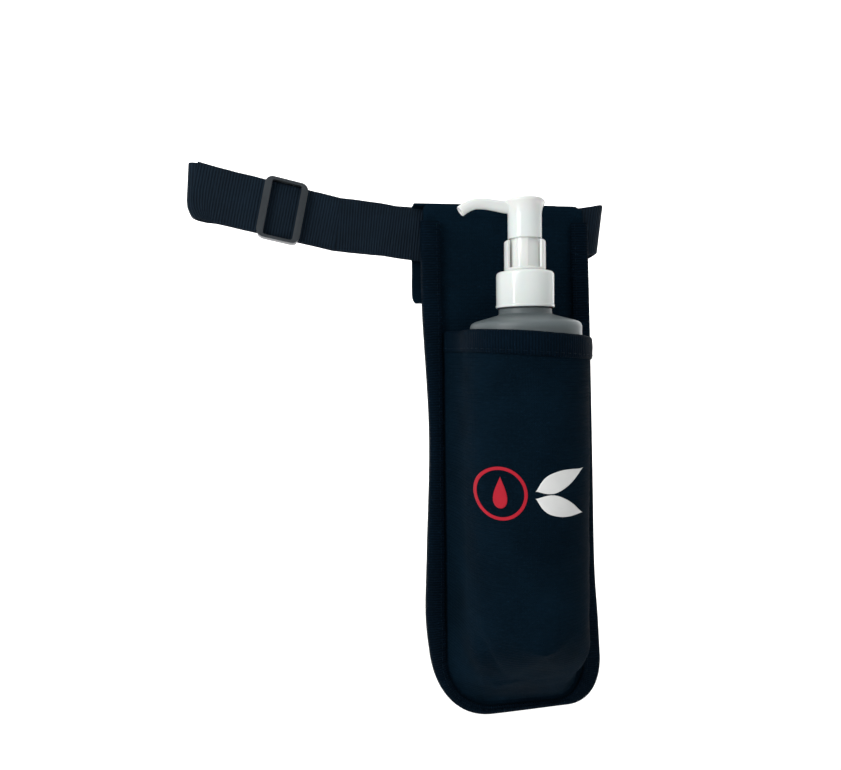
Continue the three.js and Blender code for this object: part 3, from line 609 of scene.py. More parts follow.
def on_run(s, n=0.0, w=0.0):
    curl = 0.002 * (s + 26) ** 2 if s < -26 else 0.0
    return SLIDER_AT + ALONG * s + THROUGH * n + ACROSS * (w + curl)


def belt_stations():
    stations = []

    def add(p, w, n):
        stations.append((Vector(p), Vector(w).normalized(), Vector(n).normalized()))

    up = Vector((0, 0, 1))
    flipped = -THROUGH
    for s in (-33.5, -35, -36.5, -38):
        add(on_run(s, LAYER_N), ACROSS, THROUGH)
    radius = (REAR_N - LAYER_N) / 2
    for i in range(19):
        angle = i / 18 * math.pi
        pinch = 0.35 * math.sin(angle)
        reach = (radius + 1.2 * math.sin(angle)) * math.sin(angle)
        p = on_run(FOLD_S - reach, LAYER_N + radius - radius * math.cos(angle), -pinch)
        add(p, ACROSS, THROUGH * math.cos(angle) + ALONG * math.sin(angle))
    for k in range(1, 33):
        s = lerp(FOLD_S, RUN_END_S, k / 32)
        add(on_run(s, REAR_N, REAR_LIFT * smoothstep(k / 6)), ACROSS, flipped)
    start = on_run(RUN_END_S, REAR_N, REAR_LIFT)
    for i in range(1, 25):
        t = i / 24
        ease = smoothstep(t)
        y = lerp(start.y, HANK_FIRST_Y, min(1, ease * 1.15))
        p = (lerp(start.x, -HANK_HALF, t), y, lerp(start.z, HANK_Z, t ** 0.8))
        add(p, ACROSS.lerp(up, ease), Vector((0, -1, 0)).lerp(flipped, 1 - ease))
    small = HANK_PITCH / 2
    for layer in range(HANK_LAYERS - 1):
        way = 1 if layer % 2 == 0 else -1
        y = HANK_FIRST_Y + layer * HANK_PITCH
        for k in range(1, 13):
            x = way * lerp(-HANK_HALF, HANK_HALF, k / 13)
            wave = 0.12 * noise.noise(Vector((x / 16, layer * 3.1, 0)))
            add((x, y + wave, HANK_Z + 0.25 * math.sin(layer * 2.1)), up, (0, -way, 0))
        for i in range(9):
            angle = i / 8 * math.pi
            x = way * (HANK_HALF + small * 1.25 * math.sin(angle))
            facing = (math.sin(angle), -way * math.cos(angle), 0)
            add((x, y + small - small * math.cos(angle), HANK_Z), up, facing)
    last = HANK_FIRST_Y + (HANK_LAYERS - 1) * HANK_PITCH
    for k in range(1, 13):
        add((lerp(-HANK_HALF, 42, k / 13), last, HANK_Z), up, (0, -1, 0))
    wide = (last - TUNNEL_Y) / 2
    lean = Vector((0.13, 0, 1)).normalized()
    for i in range(25):
        angle = i / 24 * math.pi
        swell = math.sin(angle)
        y = TUNNEL_Y + wide + wide * math.cos(angle)
        p = (TURN_X + TURN_REACH * swell, y, lerp(HANK_Z, TURN_Z, i / 24) + 2.6 * swell)
        add(p, up.lerp(lean, min(1, i / 12)), (-swell * wide, -TURN_REACH * math.cos(angle), 0))
    knots = [(TURN_X, TUNNEL_Y, TURN_Z), (24, TUNNEL_Y, 184), (0, TUNNEL_Y, 182.2), (-24, TUNNEL_Y, 182.4),
             (-48, TUNNEL_Y - 0.1, 184.6), (-66, TUNNEL_Y - 1.1, 187.1), tuple(on_run(RUN_END_S))]
    path = spline(knots, 60)
    for i in range(1, 60):
        t = i / 60
        slope = Vector(path[min(59, i + 1)] - path[i - 1]).normalized()
        w = (up - slope * slope.z).normalized()
        lean_by = max(0.0, 1 - t * 14 / 3)
        add(path[i], w.lerp(lean, lean_by), (0, 1, 0))
    for k in range(41):
        add(on_run(lerp(RUN_END_S, -40.6, k / 40)), ACROSS, THROUGH)
    return stations


# strip of webbing with rounded edges through stations; the relief holds each rib
def webbing(name, stations, width=WEB_W, thick=WEB_T, seed=0.0, pitch=1.3, rib=0.1, spacing=0.33):
    centres, ws, ns = (np.array([tuple(station[k]) for station in stations]) for k in range(3))
    run = distances(centres)
    at = np.linspace(0, run[-1], max(8, int(run[-1] / spacing)))
    fine = [sample(a, run, at) for a in (centres, ws, ns)]
    half, t = width / 2, thick / 2
    face = (-0.94, -0.82, -0.64, -0.4, 0, 0.4, 0.64, 0.82, 0.94)
    section = [(-1, 0.0), (-0.985, 0.62), *((a, 1.0) for a in face), (0.985, 0.62)]
    section += [(-a, -b) for a, b in section]
    rings = []
    uv = []
    for s, p, w, n in zip(at, *fine):
        p, w, n = Vector(p), Vector(w).normalized(), Vector(n).normalized()
        groove = rib * (0.5 - 0.5 * math.cos(s * math.tau / pitch))
        edge = 0.12 * noise.noise(Vector((s / 7, seed, 0)))
        ring = []
        for a, b in section:
            body = t - groove if abs(b) > 0.9 else t
            ring.append(p + w * (a * (half + edge)) + n * (b * body))
            uv.append((s * MM, (a + 1) * half * MM))
        rings.append(ring)
    return skin(name, rings, uv), float(run[-1])


# ---- materials ----

def material(name, base, roughness, build=None, **inputs):
    m = bpy.data.materials.new(name)
    m.use_nodes = True
    shader = m.node_tree.nodes["Principled BSDF"]
    shader.inputs["Base Color"].default_value = (*base, 1)
    shader.inputs["Roughness"].default_value = roughness
    for key, value in inputs.items():
        shader.inputs[key.replace("_", " ")].default_value = value
    if build:
        build(m.node_tree, shader, base)
    return m


def node(tree, kind, **settings):
    made = tree.nodes.new(kind)
    for key, value in settings.items():
        setattr(made, key, value)
    return made


# a value in a material's node tree, which patterns are written with as sums and products
class Value:
    def __init__(self, tree, socket):
        self.tree = tree
        self.socket = socket

    def math(self, operation, other=None):
        made = node(self.tree, "ShaderNodeMath", operation=operation)
        self.tree.links.new(self.socket, made.inputs[0])
        if isinstance(other, Value):
            self.tree.links.new(other.socket, made.inputs[1])
        elif other is not None:
            made.inputs[1].default_value = other
        return Value(self.tree, made.outputs[0])

    def __add__(self, other):
        return self.math("ADD", other)

    def __mul__(self, other):
        return self.math("MULTIPLY", other)


def wave(value, period):
    return (value * (math.tau / period)).math("SINE")


def object_coords(tree):
    return node(tree, "ShaderNodeTexCoord").outputs["Object"]


def split(tree, socket):
    made = node(tree, "ShaderNodeSeparateXYZ")
    tree.links.new(socket, made.inputs[0])
    return [Value(tree, output) for output in made.outputs]


def bump(tree, shader, height, strength, distance):
    made = node(tree, "ShaderNodeBump")
    made.inputs["Strength"].default_value = strength
    made.inputs["Distance"].default_value = distance
    tree.links.new(height.socket, made.inputs["Height"])
    tree.links.new(made.outputs[0], shader.inputs["Normal"])


def mottle(tree, coords, scale, detail=4):
    made = node(tree, "ShaderNodeTexNoise")
    made.inputs["Scale"].default_value = scale
    made.inputs["Detail"].default_value = detail
    tree.links.new(coords, made.inputs["Vector"])
    return Value(tree, made.outputs["Fac"])


def tint(tree, shader, factor, dark, light, low=0.3, high=0.7):
    ramp = node(tree, "ShaderNodeValToRGB")
    for element, position, colour in zip(ramp.color_ramp.elements, (low, high), (dark, light)):
        element.position = position
        element.color = (*colour, 1)
    tree.links.new(factor.socket, ramp.inputs[0])
    tree.links.new(ramp.outputs[0], shader.inputs["Base Color"])


def vary_roughness(tree, shader, factor, low, high):
    spread = node(tree, "ShaderNodeMapRange")
    spread.inputs["To Min"].default_value = low
    spread.inputs["To Max"].default_value = high
    tree.links.new(factor.socket, spread.inputs["Value"])
    tree.links.new(spread.outputs[0], shader.inputs["Roughness"])


def shade(colour, by):
    return tuple(min(1.0, c * by) for c in colour)


# pattern sizes in metres
CLOTH_THREAD = 0.00085
HEAVY_PICK = 0.0016
TWILL = 0.00055


# plain weave drawn in space, with threads down the cloth and across it and a heavier thread now and then
def woven(depth, seed=0.0):
    def build(tree, shader, base):
        coords = object_coords(tree)
        x, y, z = split(tree, coords)
        wobble = mottle(tree, coords, 90) * 0.0009
        across, up = x + y * 0.83 + wobble, z + wobble
        warp, weft = wave(across, CLOTH_THREAD), wave(up, CLOTH_THREAD)
        over = warp * weft * 0.35 + wave(up, HEAVY_PICK) * 0.9
        fine = warp.math("MAXIMUM", weft) + over + mottle(tree, coords, 5200, 2) * 0.7
        bump(tree, shader, fine, 0.55, depth)
        patch = mottle(tree, coords, 38 + seed, 6)
        thread = mottle(tree, coords, 2600, 2) * 0.5
        tint(tree, shader, patch * 0.5 + thread, shade(base, 0.62), shade(base, 1.5))
        vary_roughness(tree, shader, patch, 0.62, 0.86)
    return build


# ribbed tape: ribs across its run, fine threads along it, from the strip's own lengths in metres
def ribbed(pitch, depth):
    def build(tree, shader, base):
        along, across, _ = split(tree, node(tree, "ShaderNodeUVMap", uv_map="UVMap").outputs[0])
        coords = object_coords(tree)
        along = along + mottle(tree, coords, 160) * 0.0003
        rib = (wave(along, pitch) * 0.5 + 0.5).math("POWER", 0.6)
        twill = (across * (math.tau / TWILL) + along * (math.tau / (pitch * 2))).math("SINE")
        bump(tree, shader, rib + twill * 0.22 + mottle(tree, coords, 4000, 2) * 0.5, 0.8, depth)
        worn = mottle(tree, coords, 55, 6)
        # the tint follows the ribs, darker in the grooves between them and lighter on their crests, which is
        # painted shade and painted highlight; the worn mottle adds tone that varies at random
        tint(tree, shader, worn * 0.45 + rib * 0.4, shade(base, 0.5), shade(base, 1.45), 0.2, 0.8)
        vary_roughness(tree, shader, worn, 0.5, 0.78)
    return build


# moulded plastic: faint flow mottling, fine surface grain and small scuffs
def moulded(grain, low, high, spread=0.06):
    def build(tree, shader, base):
        coords = object_coords(tree)
        cloud = mottle(tree, coords, 60, 5)
        fine = mottle(tree, coords, 3500, 2)
        scuff = node(tree, "ShaderNodeTexVoronoi", feature="DISTANCE_TO_EDGE")
        scuff.inputs["Scale"].default_value = 420
        tree.links.new(coords, scuff.inputs["Vector"])
        marks = Value(tree, scuff.outputs["Distance"]).math("LESS_THAN", 0.012)
        bump(tree, shader, fine + cloud + marks * -0.25, grain, 0.00006)
        tint(tree, shader, cloud, shade(base, 1 - spread), shade(base, 1 + spread))
        vary_roughness(tree, shader, cloud * 0.7 + marks * 0.3, low, high)
    return build


NAVY = (0.0022, 0.0080, 0.0150)
TAPE = (0.0016, 0.0066, 0.0135)
BELT = (0.0072, 0.0150, 0.0250)
CLOTH_LOOK = material("holster_cloth_look", NAVY, 0.75, woven(0.00012),
                      Specular_IOR_Level=0.008)
PANEL_LOOK = material("panel_cloth_look", shade(NAVY, 1.12), 0.75, woven(0.00012, 9.0),
                      Specular_IOR_Level=0.008)
TAPE_LOOK = material("binding_tape_look", TAPE, 0.7, ribbed(0.00125, 0.00022), Specular_IOR_Level=0.02)
WEB_LOOK = material("webbing_look", BELT, 0.65, ribbed(0.0013, 0.00022), Sheen_Weight=0.004,
                    Sheen_Roughness=0.4, Specular_IOR_Level=0.05)
ELASTIC_LOOK = material("elastic_look", TAPE, 0.8, ribbed(0.0008, 0.0002), Sheen_Weight=0.012,
                        Sheen_Roughness=0.4, Specular_IOR_Level=0.09)
THREAD_LOOK = material("thread_look", shade(TAPE, 1.15), 0.7, moulded(0.6, 0.55, 0.8, 0.2),
                       Specular_IOR_Level=0.06)
SLIDER_LOOK = material("slider_plastic_look", (0.040, 0.047, 0.053), 0.4, moulded(0.35, 0.3, 0.48, 0.1),
                       Specular_IOR_Level=0.2)
WHITE_LOOK = material("white_plastic_look", (0.86, 0.88, 0.86), 0.2, moulded(0.05, 0.13, 0.26, 0.02),
                      Coat_Weight=0.5, Coat_Roughness=0.08, Subsurface_Weight=0.15, Subsurface_Scale=0.004)
FROST_LOOK = material("frosted_bottle_look", (0.27, 0.325, 0.34), 0.42, moulded(0.12, 0.36, 0.5, 0.03),
                      Transmission_Weight=0.62, IOR=1.49)
CLEAR_LOOK = material("natural_plastic_look", (0.62, 0.66, 0.65), 0.35, moulded(0.1, 0.3, 0.45, 0.03),
                      Transmission_Weight=0.3, IOR=1.5)
FOAM_LOOK = material("gasket_look", (0.62, 0.62, 0.58), 0.85, moulded(0.6, 0.75, 0.95, 0.08))
STEEL_LOOK = material("valve_steel_look", (0.55, 0.56, 0.57), 0.25, moulded(0.05, 0.18, 0.32, 0.04),
                      Metallic=1.0)
RED_LOOK = material("emblem_red_look", (0.46, 0.012, 0.028), 0.6, moulded(0.4, 0.5, 0.7, 0.08),
                    Specular_IOR_Level=0.15)
PRINT_LOOK = material("emblem_white_look", (0.78, 0.79, 0.78), 0.5, moulded(0.4, 0.42, 0.6, 0.05))


def dress(obj, look, slot_name, body, *nodes):
    obj.data.materials.clear()
    obj.data.materials.append(look)
    if body:
        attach(obj, body)
    if nodes:
        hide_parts(*nodes)
    return obj


# ---- holster pieces ----

dress(make_pocket(), CLOTH_LOOK, "holster_cloth", "holster", "pocket_panel")
dress(make_hem(), TAPE_LOOK, "binding_tape", "holster", "pocket_hem_binding")
dress(make_tape(), TAPE_LOOK, "binding_tape", "holster", "edge_binding")
dress(make_panel(), PANEL_LOOK, "holster_cloth", "holster", "back_panel")
dress(make_flap(), PANEL_LOOK, "holster_cloth", "holster", "belt_sleeve_flap")
belt, BELT_LENGTH = webbing("belt_strap", belt_stations())


# the fold at the belt's left end leans, and its lower corner is rounded
def lean_fold(obj):
    base = Vector(place(SLIDER_AT))
    for vertex in obj.data.vertices:
        from_slider = (vertex.co - base) / MM
        s, w, n = from_slider.dot(ALONG), from_slider.dot(ACROSS), from_slider.dot(THROUGH)
        if s < -29 and abs(w) < 20:
            hold = smoothstep((-29 - s) / 10)
            leaning = 0.14 * w if w < 0 or n > 1.3 else 0.0
            rounding = 3.6 * max(0.0, (-w - 5) / 8) ** 2
            vertex.co += ALONG * (hold * (rounding - leaning) * MM)


lean_fold(belt)
dress(belt, WEB_LOOK, "webbing", "holster", "belt_webbing")

# ---- elastic keeper round the folded belt ----

keeper_low, keeper_high = node_mm("hank_keeper")


def make_keeper():
    y0, y1 = keeper_low[1] + 0.45, keeper_high[1] - 0.45
    z0, z1 = keeper_low[2] + 0.4, keeper_high[2] - 0.4
    r = 1.3
    loop = []
    middles = ((y1 - r, z1 - r), (y0 + r, z1 - r), (y0 + r, z0 + r), (y1 - r, z0 + r))
    for (cy, cz), start in zip(middles, (0, 90, 180, 270)):
        for k in range(7):
            a = math.radians(start + k * 15)
            loop.append((cy + r * math.cos(a), cz + r * math.sin(a)))
    loop.append(loop[0])
    points = resample(loop, 260)
    centre = np.array(((y0 + y1) / 2, (z0 + z1) / 2))
    stations = []
    # the loop's last point is its first, so the one before the first is the last but one
    for before, here, after in zip([points[-2], *points], points, [*points[1:], points[1]]):
        d = Vector(after - before).normalized()
        n = Vector((0, d.y, -d.x))
        if n.dot(Vector((0, *(here - centre)))) < 0:
            n = -n
        stations.append((Vector((0, *here)), Vector((1, 0, 0)), n))
    return webbing("hank_elastic", stations, 11.6, 0.75, seed=5, pitch=0.8, rib=0.08, spacing=0.4)[0]


dress(make_keeper(), ELASTIC_LOOK, "elastic", "holster", "hank_keeper")

# ---- slider and the strap's sewn end ----

def in_slider(x, y, z):
    return SLIDER_AT + ALONG * x + THROUGH * y + ACROSS * z


def cad_copy(name, source):
    return link(name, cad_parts[source].data.copy())


def bevelled_copy(name, source, width, angle):
    obj = cad_copy(name, source)
    bm = bmesh.new()
    bm.from_mesh(obj.data)
    bmesh.ops.remove_doubles(bm, verts=bm.verts, dist=2e-6)
    bmesh.ops.dissolve_limit(bm, angle_limit=math.radians(1.5), verts=bm.verts, edges=bm.edges)
    bm.to_mesh(obj.data)
    bm.free()
    modify(obj, "BEVEL", width=width * MM, segments=3, limit_method="ANGLE", angle_limit=math.radians(angle))
    return sharp(smooth_faces(obj), 40)


slider = bevelled_copy("slider_body", "triglide_slider", 0.45, 30)
dress(slider, SLIDER_LOOK, "slider_plastic", "slider", "triglide_slider")


def make_loop_end():
    # round the centre bar and back on itself, in the slider's own directions
    path = [(-10.4, 1.35), (-8, 1.35), (-4, 1.35), (0, 1.33), (1.5, 1.4), (2.2, 1.75), (2.5, 2.4),
            (2.45, 3.3), (2.1, 4.0), (1.2, 4.45), (-1, 4.5), (-3, 4.35), (-5, 3.3), (-6.5, 2.65),
            (-8.5, 2.4), (-10.4, 2.35)]
    points = resample(path, 90)
    stations = []
    for i, (x, y) in enumerate(points):
        a, b = points[max(0, i - 1)], points[min(len(points) - 1, i + 1)]
        d = (ALONG * (b[0] - a[0]) + THROUGH * (b[1] - a[1])).normalized()
        stations.append((in_slider(x, y, 0), ACROSS, d.cross(ACROSS)))
    return webbing("strap_loop_end", stations, 24.2, 0.85, seed=8, rib=0.07)[0]


dress(make_loop_end(), WEB_LOOK, "webbing", "slider", "strap_end_loop")


# the strap between its sewn end and the fold
def make_lap():
    stations = []
    for k in range(60):
        s = lerp(-10.2, -34.2, k / 59)
        n = lerp(1.85, LAYER_N, smoothstep(k / 20))
        stations.append((on_run(s, n), ACROSS, THROUGH))
    return webbing("strap_lap", stations, 24.6, 1.0, seed=11, rib=0.08)[0]


lap = dress(make_lap(), WEB_LOOK, "webbing", None)
place(on_run(-11))
place(on_run(-33.5))
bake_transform(lap)

# ---- bottle ----

bottle_top = (bottle_high.z - bottle_low.z) / MM
SHOULDER = 140.2
FOOT = SHOULDER + 3.3
THREAD_PITCH = 3.175
THREAD_TURNS = 1.5


def make_bottle():
    profile = [
        (0, 1.2), (20.5, 1.2), (21.1, 0), (22.4, 0), (24.3, 0.8), (25, 2.8), (25, SHOULDER - 2.4),
        (24.45, SHOULDER - 0.8), (23, SHOULDER), (13.1, FOOT - 0.5), (11.9, FOOT), (11.9, FOOT + 2.3),
        (11, FOOT + 2.7), (11, bottle_top), (9, bottle_top), (9, FOOT + 1), (10.9, FOOT - 1.2),
        (22.6, SHOULDER - 1.2), (23.8, SHOULDER - 2.9), (23.8, 3.4), (22.4, 2.2), (0, 2.4),
    ]
    return lathe("bottle_body", profile, 0.7, 128)


# the neck's thread, whose ridge rises from the neck at both ends
def make_thread():
    rings = []
    steps = 110
    for i in range(steps + 1):
        turned = i / steps * THREAD_TURNS
        angle = turned * math.tau
        z = FOOT + 5.2 + turned * THREAD_PITCH
        fade = min(1, i / 6, (steps - i) / 6)
        low, high = 0.35 * fade, 0.72 * fade
        ring = []
        for a, b in ((-0.2, -1.0), (low, -0.55), (high, -0.25), (high, 0.25), (low, 0.55), (-0.2, 1.0)):
            r = 11.02 + a
            ring.append((r * math.cos(angle), r * math.sin(angle), z + b * 0.8))
        rings.append(ring)
    return skin("bottle_thread", rings)


dress(make_bottle(), FROST_LOOK, "frosted_bottle", "bottle", "bottle")
dress(make_thread(), FROST_LOOK, "frosted_bottle", "bottle")

# ---- pump ----

cap_low, cap_high = node_mm("closure_cap")


def make_cap():
    top, low, r = cap_high[2], cap_low[2], cap_high[0]
    plate = top - 1.2
    profile = [(12.15, low), (r - 0.15, low), (r, low + 0.3), (r - 0.02, low + 1.2), (r - 0.28, low + 1.35),
               (r - 0.2, low + 1.6), (r - 0.22, top - 1.6), (r - 0.45, top - 0.7), (r - 1.0, top - 0.15),
               (r - 1.9, top), (6.95, top), (6.95, plate), (12.05, plate), (12.15, low)]
    return sharp(lathe("closure_body", profile, 0.35, 128), 50)


dress(make_cap(), WHITE_LOOK, "white_plastic", "closure", "closure_cap")

for name, source, width in (("guard_sleeve", "stroke_guard", 0.22), ("guide_body", "stem_guide", 0.2)):
    dress(bevelled_copy(name, source, width, 25), WHITE_LOOK, "white_plastic", "pump_body", source)

head_low, head_high = node_mm("pump_head")


# a round pipe in the head's own plane, along a curve through points of (x, z)
def pipe(name, points, radius, sides=32):
    path = resample([*spline(points, 60), points[-1]], 60)
    side = Vector((0, 1, 0))
    rings = []
    for i, (x, z) in enumerate(path):
        a, b = path[max(0, i - 1)], path[min(len(path) - 1, i + 1)]
        rise = side.cross(Vector((b[0] - a[0], 0, b[1] - a[1])).normalized())
        r = radius(i / (len(path) - 1))
        turns = [k / sides * math.tau for k in range(sides)]
        rings.append([Vector((x, 0, z)) + side * (r * math.cos(t)) + rise * (r * math.sin(t)) for t in turns])
    return skin(name, rings)


def make_head():
    skirt_low, top = head_low[2], head_high[2]
    roof = 188.6
    body = lathe("head_body", [
        (0, roof), (6.4, roof), (7.0, roof - 1.5), (7.0, skirt_low), (7.64, skirt_low), (7.64, 188),
        (7.89, 190), (8.39, 191.6), (9.15, 193.2), (9.15, 194.0), (8.55, 194.6),
        (6.1, 195.1), (4, top - 0.1), (0, top),
    ], 0.3, 96)
    route = [(0, 191.2), (-8, 191.3), (-13, 192.0), (-18, 192.6), (-22.6, 192.5), (-26.4, 191.1),
             (-29.5, 189.0)]
    arm = pipe("head_arm", route, lambda t: lerp(2.9, 2.42, smoothstep(t / 0.75)))
    boss = lathe("head_boss", [(0, 182.5), (3.3, 182.5), (3.3, roof + 1), (0, roof + 1)], 0.1, 48)
    bore = pipe("head_bore", route[:-1] + [(-31.5, 187.5)], lambda t: 1.25, 20)
    socket = lathe("head_socket", [(0, 170), (2.3, 170), (2.3, 187.3), (0, 187.3)], 0.05, 48)
    for tool, operation in ((arm, "UNION"), (boss, "UNION"), (socket, "DIFFERENCE"), (bore, "DIFFERENCE")):
        modify(body, "BOOLEAN", object=tool, operation=operation, solver="EXACT")
        bpy.data.objects.remove(tool)
    modify(body, "REMESH", mode="VOXEL", voxel_size=0.26 * MM, adaptivity=0.0)
    modify(body, "SMOOTH", factor=0.5, iterations=5)
    return smooth_faces(body)


dress(make_head(), WHITE_LOOK, "white_plastic", "head", "pump_head")

# carried-over CAD nodes inside the bottle, with the finish of their own plastic or steel
for name, look in (("pump_housing", CLEAR_LOOK), ("dip_tube", CLEAR_LOOK), ("pump_piston", CLEAR_LOOK),
                   ("pump_stem", WHITE_LOOK), ("neck_gasket", FOAM_LOOK), ("inlet_ball", STEEL_LOOK)):
    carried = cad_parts[name]
    carried.data.materials.clear()
    carried.data.materials.append(look)

# the spring stands on the housing's step
coil = cad_copy("spring_coil", "return_spring")
dress(coil, STEEL_LOOK, "valve_steel", None, "return_spring")
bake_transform(coil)

# ---- printed emblem: a plain drop in a ring, with two leaves beside it ----

EMBLEM_ANGLE = math.radians(-105)
EMBLEM_Z = 67.0
ROUND_R = 27.9
RING_X = -11.5
LEAVES_X = 13.2
LEAF_LENGTH = 11.0
LEAF_WIDTH = 4.0


# `a` is measured straight across, so that the print looks true from in front
def emblem_point(a, b, lift):
    return on_pocket(EMBLEM_ANGLE + math.asin(a / ROUND_R), EMBLEM_Z + b, lift)[0]


# a band of print between two closed lines of equally many points, or from a line to its middle
def print_shape(name, outer, inner=None):
    steps, n = 10, len(outer)
    if inner is None:
        inner = [(sum(p[0] for p in outer) / n, sum(p[1] for p in outer) / n)] * n
    verts = []
    for lift in (0.2, -0.15):
        for k in range(steps + 1):
            rim = lift if 0 < k < steps or lift < 0 else lift - 0.06
            for (a0, b0), (a1, b1) in zip(outer, inner):
                verts.append(emblem_point(lerp(a0, a1, k / steps), lerp(b0, b1, k / steps), rim))
    layer = (steps + 1) * n
    faces = quads(steps + 1, n, True) + quads(steps + 1, n, True, layer)
    for at in (0, steps * n):
        for i in range(n):
            j = (i + 1) % n
            faces.append((at + i, at + j, layer + at + j, layer + at + i))
    return make(name, verts, faces)


def circle(ca, radius, n=72):
    return [(ca + radius * math.cos(i / n * math.tau), radius * math.sin(i / n * math.tau)) for i in range(n)]


def drop(ca, cb, size, n=72):
    points = []
    for i in range(n):
        t = i / n * math.tau
        points.append((ca + size * 0.62 * math.sin(t) * math.sin(t / 2) ** 1.4, cb + size * math.cos(t)))
    return points


def leaf(cb, turn, n=48):
    points = []
    for i in range(n):
        t = i / n * math.tau
        x = LEAF_LENGTH * math.cos(t)
        y = LEAF_WIDTH * math.sin(t) * (1 - 0.35 * math.cos(t)) * (1 - abs(math.cos(t)) ** 3)
        across = x * math.cos(turn) - y * math.sin(turn)
        points.append((LEAVES_X + across, cb + x * math.sin(turn) + y * math.cos(turn)))
    return points


for shape_name, outer, inner, look in (
    ("emblem_ring", circle(RING_X, 11.4), circle(RING_X, 10.0), RED_LOOK),
    ("emblem_drop", drop(RING_X, 0.5, 6.8), None, RED_LOOK),
    ("emblem_leaf_high", leaf(5.6, math.radians(22)), None, PRINT_LOOK),
    ("emblem_leaf_low", leaf(-5.6, math.radians(-22)), None, PRINT_LOOK),
):
    dress(print_shape(shape_name, outer, inner), look, "holster_cloth", "holster")

# ---- stitching ----

# short stitches along paths, each of points and of the directions that the cloth faces there
def stitches(name, paths, length=2.3, gap=0.9, radius=0.17):
    sides = 6
    turns = [m / sides * math.tau for m in range(sides)]
    thickness = (0.45, 0.95, 1.05, 0.95, 0.45)
    sinks = (0.7, 0.05, 0, 0.05, 0.7)
    verts = []
    faces = []
    for points, normals in paths:
        pts = np.array([tuple(p) for p in points], float)
        nrm = np.array([tuple(n) for n in normals], float)
        run = distances(pts)
        at = 0.5
        while at + length < run[-1]:
            base = len(verts)
            for k, (thick, sink) in enumerate(zip(thickness, sinks)):
                s = at + length * k / 4
                p = Vector(sample(pts, run, s))
                n = Vector(sample(nrm, run, s)).normalized()
                side = (Vector(sample(pts, run, s + 0.05)) - p).normalized().cross(n).normalized()
                middle, r = p - n * (radius * sink), radius * thick
                verts += [middle + (side * math.cos(t) + n * math.sin(t)) * r for t in turns]
            faces += quads(5, sides, True, base)
            faces.append(tuple(base + i for i in range(sides))[::-1])
            faces.append(tuple(base + 4 * sides + i for i in range(sides)))
            at += length + gap
    return make(name, verts, faces)


def tape_stitches():
    front, rear = [], []
    for (x, z), (nx, nz), w in zip(*tape_run(700, TAPE_TOP - 1, 0.25)):
        front.append((x - nx * (w - 1.7), TAPE_FRONT - 0.02, z - nz * (w - 1.7)))
        rear.append((x - nx * (TAPE_WIDTH - 1.6), TAPE_REAR + 0.02, z - nz * (TAPE_WIDTH - 1.6)))
    return [(front, [(0, -1, 0)] * len(front)), (rear, [(0, 1, 0)] * len(rear))]


def hem_stitches():
    line = mouth_line(CLOTH + HEM_GAP + 0.95, 220)
    out = outward(line)
    points = [(x, y, MOUTH_Z + HEM_RISE - MOUTH_TILT * x - HEM_DEPTH + 1.5) for x, y in line]
    return [(points, [(nx, ny, 0) for nx, ny in out])]


# one level row of stitches on a face at depth y
def level_stitches(y, facing, x0, x1, z):
    return [([(lerp(x0, x1, k / 30), y, z) for k in range(31)], [(0, facing, 0)] * 31)]


dress(stitches("edge_stitches", tape_stitches()), THREAD_LOOK, "binding_tape", "holster")
dress(stitches("hem_stitches", hem_stitches()), THREAD_LOOK, "binding_tape", "holster")
sleeve_rows = level_stitches(PANEL_FRONT + 0.1, -1, -33, 31, FLAP_LOW + 8.3)
sleeve_rows += level_stitches(PANEL_REAR + 1.62, 1, -36, 34, FLAP_LOW + 1.6)
dress(stitches("sleeve_stitches", sleeve_rows), THREAD_LOOK, "holster_cloth", "holster")


def loop_stitches():
    outer, inner, half = -9.6, -7.6, 10.4
    paths = []
    for x0, x1 in ((outer, outer), (inner, inner), (outer, inner)):
        points = [in_slider(lerp(x0, x1, k / 20), 2.92, lerp(-half, half, k / 20)) for k in range(21)]
        paths.append((points, [tuple(THROUGH)] * 21))
    return paths


dress(stitches("strap_stitches", loop_stitches(), 1.8, 0.8, 0.15), THREAD_LOOK, "webbing", "slider")

# ---- the belt's length in metres ----

BELT_LENGTH * MM

# ---- stage, lights and camera ----


def soft_light(name, energy, size, spot, target):
    data = bpy.data.lights.new(name, "AREA")
    data.energy = energy
    data.shape = "RECTANGLE"
    data.size, data.size_y = size
    obj = link(name, data)
    obj.location = spot
    obj.rotation_euler = (Vector(target) - Vector(spot)).to_track_quat("-Z", "Y").to_euler()


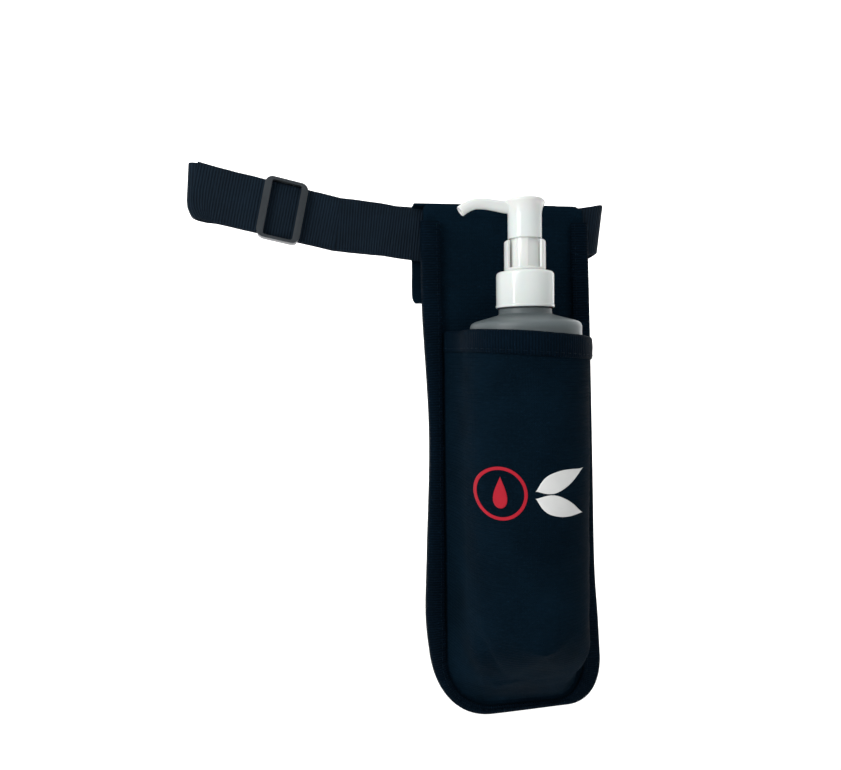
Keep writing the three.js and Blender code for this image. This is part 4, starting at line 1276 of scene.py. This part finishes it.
def make_stage():
    low = CAD_BOX[0][2] - 0.25
    section = [(-3.0, 0.0), (1.2, 0.0)]
    for k in range(1, 13):
        a = k / 12 * math.pi / 2
        section.append((1.2 + 0.6 * math.sin(a), 0.6 - 0.6 * math.cos(a)))
    section.append((1.8, 3.2))
    mesh = bpy.data.meshes.new("studio_sweep")
    verts = []
    for y, z in section:
        verts += [(-4, y, low + z), (4, y, low + z)]
    mesh.from_pydata(verts, [], quads(len(section), 2))
    obj = smooth_faces(link("studio_sweep", mesh))
    obj.data.materials.append(material("studio_paper", (0.9, 0.9, 0.9), 0.95))


make_stage()
target = (-0.02, -0.02, 0.03)
soft_light("key_left", 4.2, (0.5, 0.7), (-0.75, -0.55, 0.55), target)
soft_light("strip_left", 0.9, (0.025, 0.6), (-0.62, -0.38, 0.12), target)
soft_light("fill_front", 0.5, (0.9, 0.9), (0.15, -1.1, 0.25), target)
soft_light("top", 1.6, (0.9, 0.9), (0.0, -0.1, 0.95), target)
soft_light("rim_right", 0.4, (0.3, 0.8), (0.7, 0.1, 0.3), target)
soft_light("back_wash", 80.0, (5.0, 1.2), (0.5, 0.75, 1.1), (0.5, 2.4, 0.3))

world = bpy.data.worlds.new("studio_air")
bpy.context.scene.world = world
world.use_nodes = True
background = world.node_tree.nodes["Background"]
background.inputs["Color"].default_value = (1, 1, 1, 1)
background.inputs["Strength"].default_value = 0.42

# the camera's place and direction, from a fit
EYE = Vector((-0.0877, -0.3164, 0.0650))
YAW, PITCH, ROLL = math.radians(7.82), math.radians(-2.46), math.radians(-0.74)
right = Vector((math.cos(YAW), -math.sin(YAW), 0))
ahead = Vector((math.sin(YAW) * math.cos(PITCH), math.cos(YAW) * math.cos(PITCH), math.sin(PITCH)))
above = right.cross(ahead)
camera_x = right * math.cos(ROLL) + above * math.sin(ROLL)
camera_y = above * math.cos(ROLL) - right * math.sin(ROLL)
lens = bpy.data.cameras.new("photo_camera")
lens.sensor_fit = "HORIZONTAL"
lens.sensor_width = 36
lens.lens = 28.03
lens.clip_start = 0.01
camera = link("photo_camera", lens)
turned = Matrix((camera_x, camera_y, -ahead)).transposed()
camera.matrix_world = Matrix.Translation(EYE) @ turned.to_4x4()
bpy.context.scene.camera = camera
bpy.context.scene.view_settings.view_transform = "Standard"
